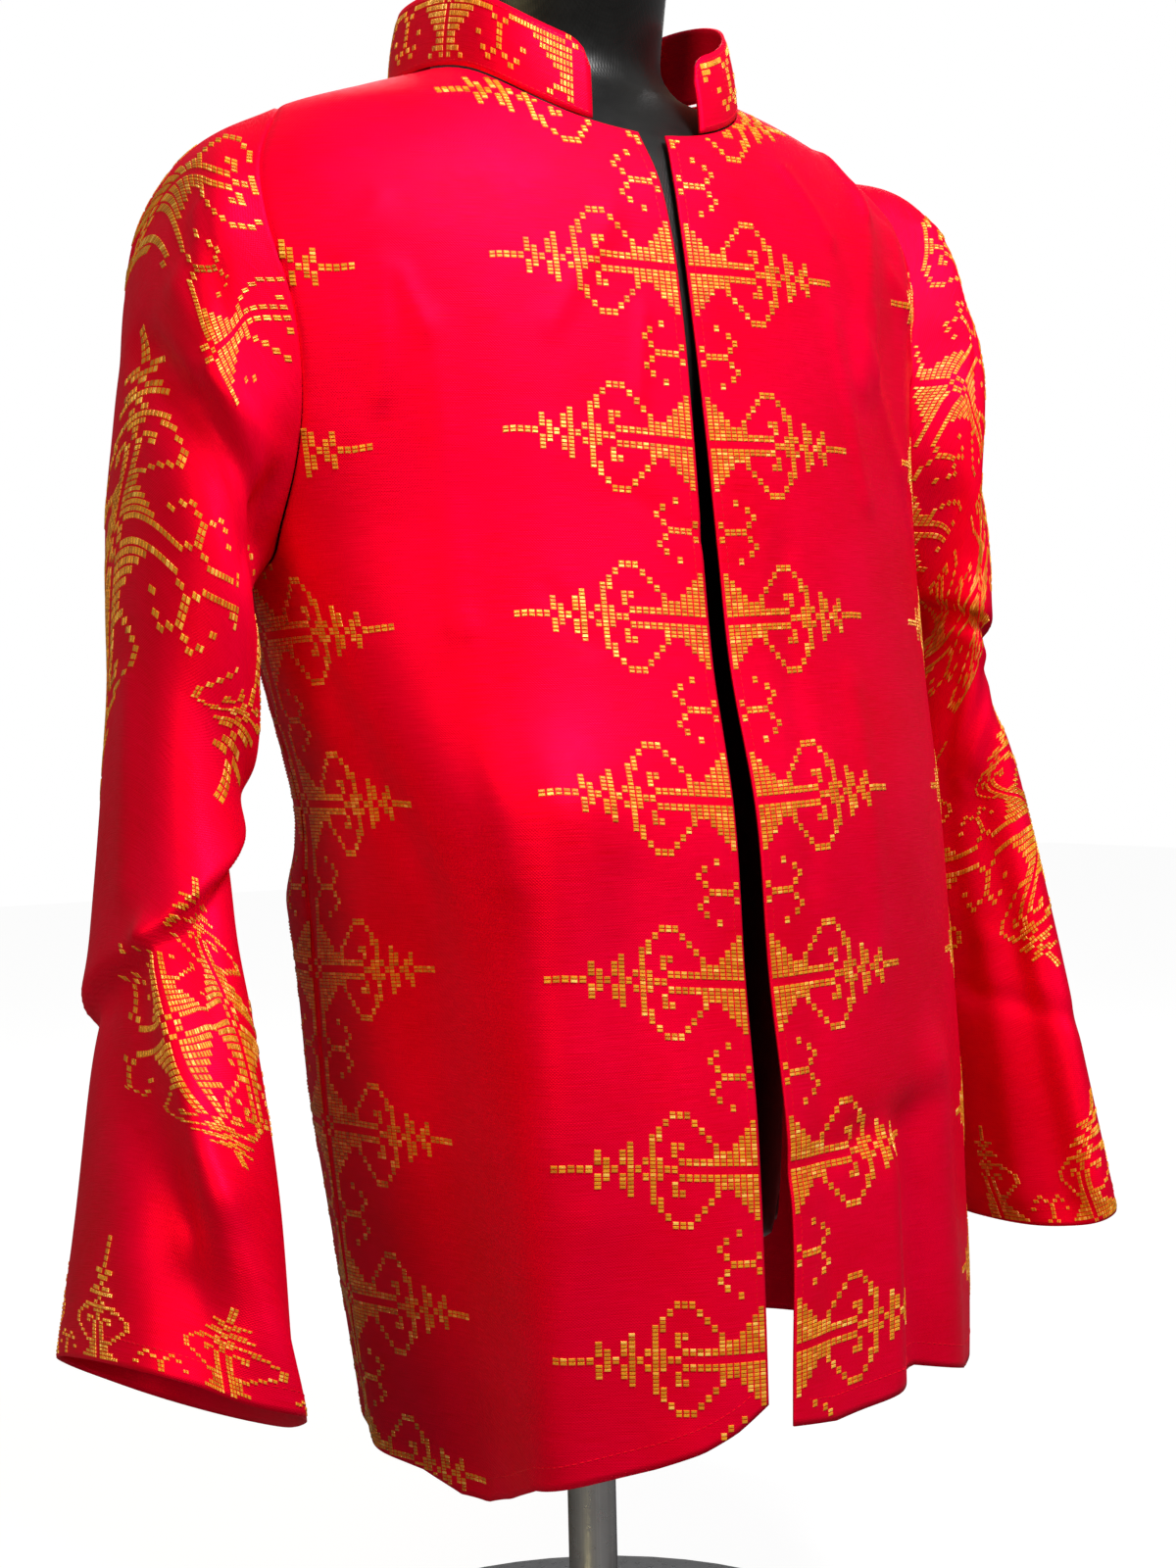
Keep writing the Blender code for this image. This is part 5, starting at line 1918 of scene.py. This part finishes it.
        def covers(places: np.ndarray) -> np.ndarray:
            """Which flat places lie on the sleeve, clear of its edges.

            Args:
                places: flat places, one to a row.

            Returns:
                Whether the sleeve covers each.
            """
            turn, share = shape.turn_and_share(places[:, 0], places[:, 1])
            across, down = shape.cloth_at(turn, share)
            near = np.hypot(across - places[:, 0], down - places[:, 1]) < self.sleeve_near
            first, last = self.sleeve_shares
            return near & (share > first) & (share < last) & (np.abs(turn) < self.sleeve_turn)

        gold = gold_threads(bands, covers, shape.flat_surface)
        cuff = stitches(flat[-1] - (0, self.hem_depth))
        rests_on = [f"front_{side.name.lower()}_cloth"]
        self.finish(name, [patch], gold, cuff, shape.flat_surface, self.sleeve_cut, rests_on)

    def collar(self, name: str) -> None:
        """The stand collar.

        Args:
            name: the node that it stands for.
        """
        shape = self.collar_shape
        along = np.linspace(0, shape.length, self.collar_columns + 1)
        part = np.linspace(0, 1, self.collar_rows + 1)
        up = shape.foot + (shape.top(along) - shape.foot)[None, :] * part[:, None]
        across = np.broadcast_to(along, up.shape)
        points, normals = shape.flat_surface(across, up)
        patch = Patch(points, normals, np.stack([across, up], axis=-1))

        def lie(row: np.ndarray, column: np.ndarray) -> np.ndarray:
            """Flat places of rows and columns.

            Args:
                row: rows of the weave.
                column: and its columns.

            Returns:
                The flat places, one to a row.
            """
            return np.column_stack(
                [self.collar_figure + row * CHART.row, shape.height + column * CHART.column]
            )

        def covers(places: np.ndarray) -> np.ndarray:
            """Which flat places lie on the collar, clear of its edges.

            Args:
                places: flat places, one to a row.

            Returns:
                Whether the collar covers each.
            """
            low = places[:, 1] > shape.foot + self.collar_foot
            ends = np.minimum(places[:, 0], shape.length - places[:, 0]) > self.collar_ends
            return low & ends & (places[:, 1] < shape.top(places[:, 0]) - self.collar_top)

        gold = gold_threads([Band(lie, self.collar_band, Way.BACKWARDS)], covers, shape.flat_surface)
        seams = np.concatenate([stitches(np.column_stack([along, up[row]])) for row in (1, -2)])
        size = (shape.length * MM, shape.height * MM)
        self.finish(name, [patch], gold, seams, shape.flat_surface, size, ["back_cloth"], self.collar_cloth)


@dataclass
class Stand:
    """The dress form and its stand."""

    wardrobe: Wardrobe
    weld: float = 1e-5  # joins the corners that the solids' facets share, in metres
    sharp: float = 35.0  # degrees between two facets from which their edge shows
    flat_within: float = 0.4  # radians between two triangles that join into one face
    shape_within: float = 1.2
    pieces: tuple[tuple[str, Finish, int], ...] = (  # node, finish, subdivision steps
        ("dress_form", JERSEY, 1),
        ("stand_pole", STEEL, 0),
        ("stand_base", STEEL, 0),
    )

    def build(self, nodes: dict[str, bpy.types.Object]) -> None:
        """Makes a smooth piece for the form, the pole and the base.

        Args:
            nodes: the model's nodes, by name.
        """
        for name, finish, steps in self.pieces:
            piece = self.smooth(f"{name}_{finish.name}", nodes[name].data)
            if steps:
                rounding = piece.modifiers.new("rounding", "SUBSURF")
                rounding.levels = rounding.render_levels = steps
            self.wardrobe.dress(piece, finish, name)

    def smooth(self, name: str, solid: bpy.types.Mesh) -> bpy.types.Object:
        """A piece of a solid's shape, its facets joined and its round sides shaded smooth.

        Args:
            name: the piece's name.
            solid: the mesh of the solid.

        Returns:
            The piece.
        """
        shape = bmesh.new()
        shape.from_mesh(solid)
        bmesh.ops.remove_doubles(shape, verts=shape.verts[:], dist=self.weld)
        bmesh.ops.join_triangles(
            shape,
            faces=shape.faces[:],
            angle_face_threshold=self.flat_within,
            angle_shape_threshold=self.shape_within,
            cmp_sharp=False,
        )
        mesh = mesh_of(name, shape)
        mesh.shade_smooth()
        mesh.set_sharp_from_angle(angle=math.radians(self.sharp))
        return placed(name, mesh)


@dataclass(frozen=True)
class Lamp:
    """A soft square lamp: its place and the place it faces, its size in metres, its power and its colour."""

    name: str
    at: tuple[float, float, float]
    to: tuple[float, float, float]
    size: float
    power: float
    colour: tuple[float, float, float] = (1.0, 1.0, 1.0)

    def light(self) -> None:
        """Puts the lamp in the scene."""
        data = bpy.data.lights.new(self.name, "AREA")
        data.color = self.colour
        data.size = self.size
        data.energy = self.power
        lamp = placed(self.name, data)
        lamp.location = self.at
        lamp.rotation_euler = (Vector(self.to) - Vector(self.at)).to_track_quat("-Z", "Y").to_euler()


@dataclass
class Studio:
    """The floor, lights and camera."""

    lamps: tuple[Lamp, ...] = (
        Lamp("key", (0.15, -1.4, 2.2), (0.0, 0.0, 0.85), 0.7, 70.0),
        Lamp("fill", (-2.2, -1.3, 1.5), (-0.15, 0.0, 0.75), 0.9, 34.0, (1.0, 0.86, 0.4)),
        Lamp("rim", (1.2, 1.8, 2.0), (0.0, 0.0, 0.6), 1.2, 12.0),
    )
    surround: tuple[float, float] = (0.16, 1.0)  # its strength as a light, and as the camera sees it
    floor_reach: float = 6.0
    floor_cells: int = 8
    floor_grey: float = 0.15
    floor_roughness: float = 0.9
    floor_glow: float = 0.93  # to the camera only
    lens: float = 54.0
    sensor: float = 36.0
    eye: tuple[float, float, float] = (-0.67040, -1.05503, 0.512)
    yaw: float = 32.3
    tilt: float = -1.4
    roll: float = -1.3

    def build(self) -> None:
        """Sets up the studio."""
        self.floor()
        for lamp in self.lamps:
            lamp.light()
        self.backdrop()
        self.camera()
        bpy.context.scene.view_settings.view_transform = "Standard"

    def floor(self) -> None:
        """A plain pale floor."""
        shape = bmesh.new()
        cells = self.floor_cells
        bmesh.ops.create_grid(shape, x_segments=cells, y_segments=cells, size=self.floor_reach)
        mesh = mesh_of("floor", shape)
        piece = placed("floor", mesh)
        made = bpy.data.materials.new("pale_floor")
        made.use_nodes = True
        shader = made.node_tree.nodes["Principled BSDF"]
        set_inputs(
            shader,
            {
                "Base Color": (self.floor_grey, self.floor_grey, self.floor_grey, 1),
                "Roughness": self.floor_roughness,
                "Emission Color": (1, 1, 1, 1),
            },
        )
        nodes = Nodes(made.node_tree)
        seen = nodes.add("ShaderNodeLightPath").outputs["Is Camera Ray"]
        nodes.link(nodes.spread(seen, 0.0, self.floor_glow), shader.inputs["Emission Strength"])
        mesh.materials.append(made)

    def backdrop(self) -> None:
        """An even white surround, dimmer as a light than as a backdrop."""
        world = bpy.data.worlds.new("surround")
        world.use_nodes = True
        nodes = Nodes(world.node_tree)
        back = world.node_tree.nodes["Background"]
        seen = nodes.add("ShaderNodeLightPath").outputs["Is Camera Ray"]
        nodes.link(nodes.spread(seen, *self.surround), back.inputs["Strength"])
        back.inputs["Color"].default_value = (1, 1, 1, 1)
        bpy.context.scene.world = world

    def camera(self) -> None:
        """The camera, at the fitted eye, turned by its yaw, tilt and roll."""
        data = bpy.data.cameras.new("camera")
        data.sensor_fit = "VERTICAL"
        data.sensor_height = self.sensor
        data.lens = self.lens
        camera = placed("camera", data)
        yaw, tilt, roll = (math.radians(angle) for angle in (self.yaw, self.tilt, self.roll))
        level = math.cos(tilt)
        ahead = Vector((math.sin(yaw) * level, math.cos(yaw) * level, math.sin(tilt)))
        right = Vector((math.cos(yaw), -math.sin(yaw), 0))
        up = right.cross(ahead)
        turned = right * math.cos(roll) + up * math.sin(roll)
        upright = up * math.cos(roll) - right * math.sin(roll)
        facing = Matrix((turned, upright, -ahead)).transposed().to_4x4()
        camera.matrix_world = Matrix.Translation(self.eye) @ facing
        bpy.context.scene.camera = camera


def main() -> None:
    """Loads the frame, then builds and dresses each sub-assembly in order."""
    logging.basicConfig(level=logging.INFO, format="%(name)s: %(message)s")
    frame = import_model()
    Studio().build()
    wardrobe = Wardrobe()
    Stand(wardrobe).build(frame["nodes"])
    Jacket(wardrobe).build()


if __name__ == "__main__":
    main()
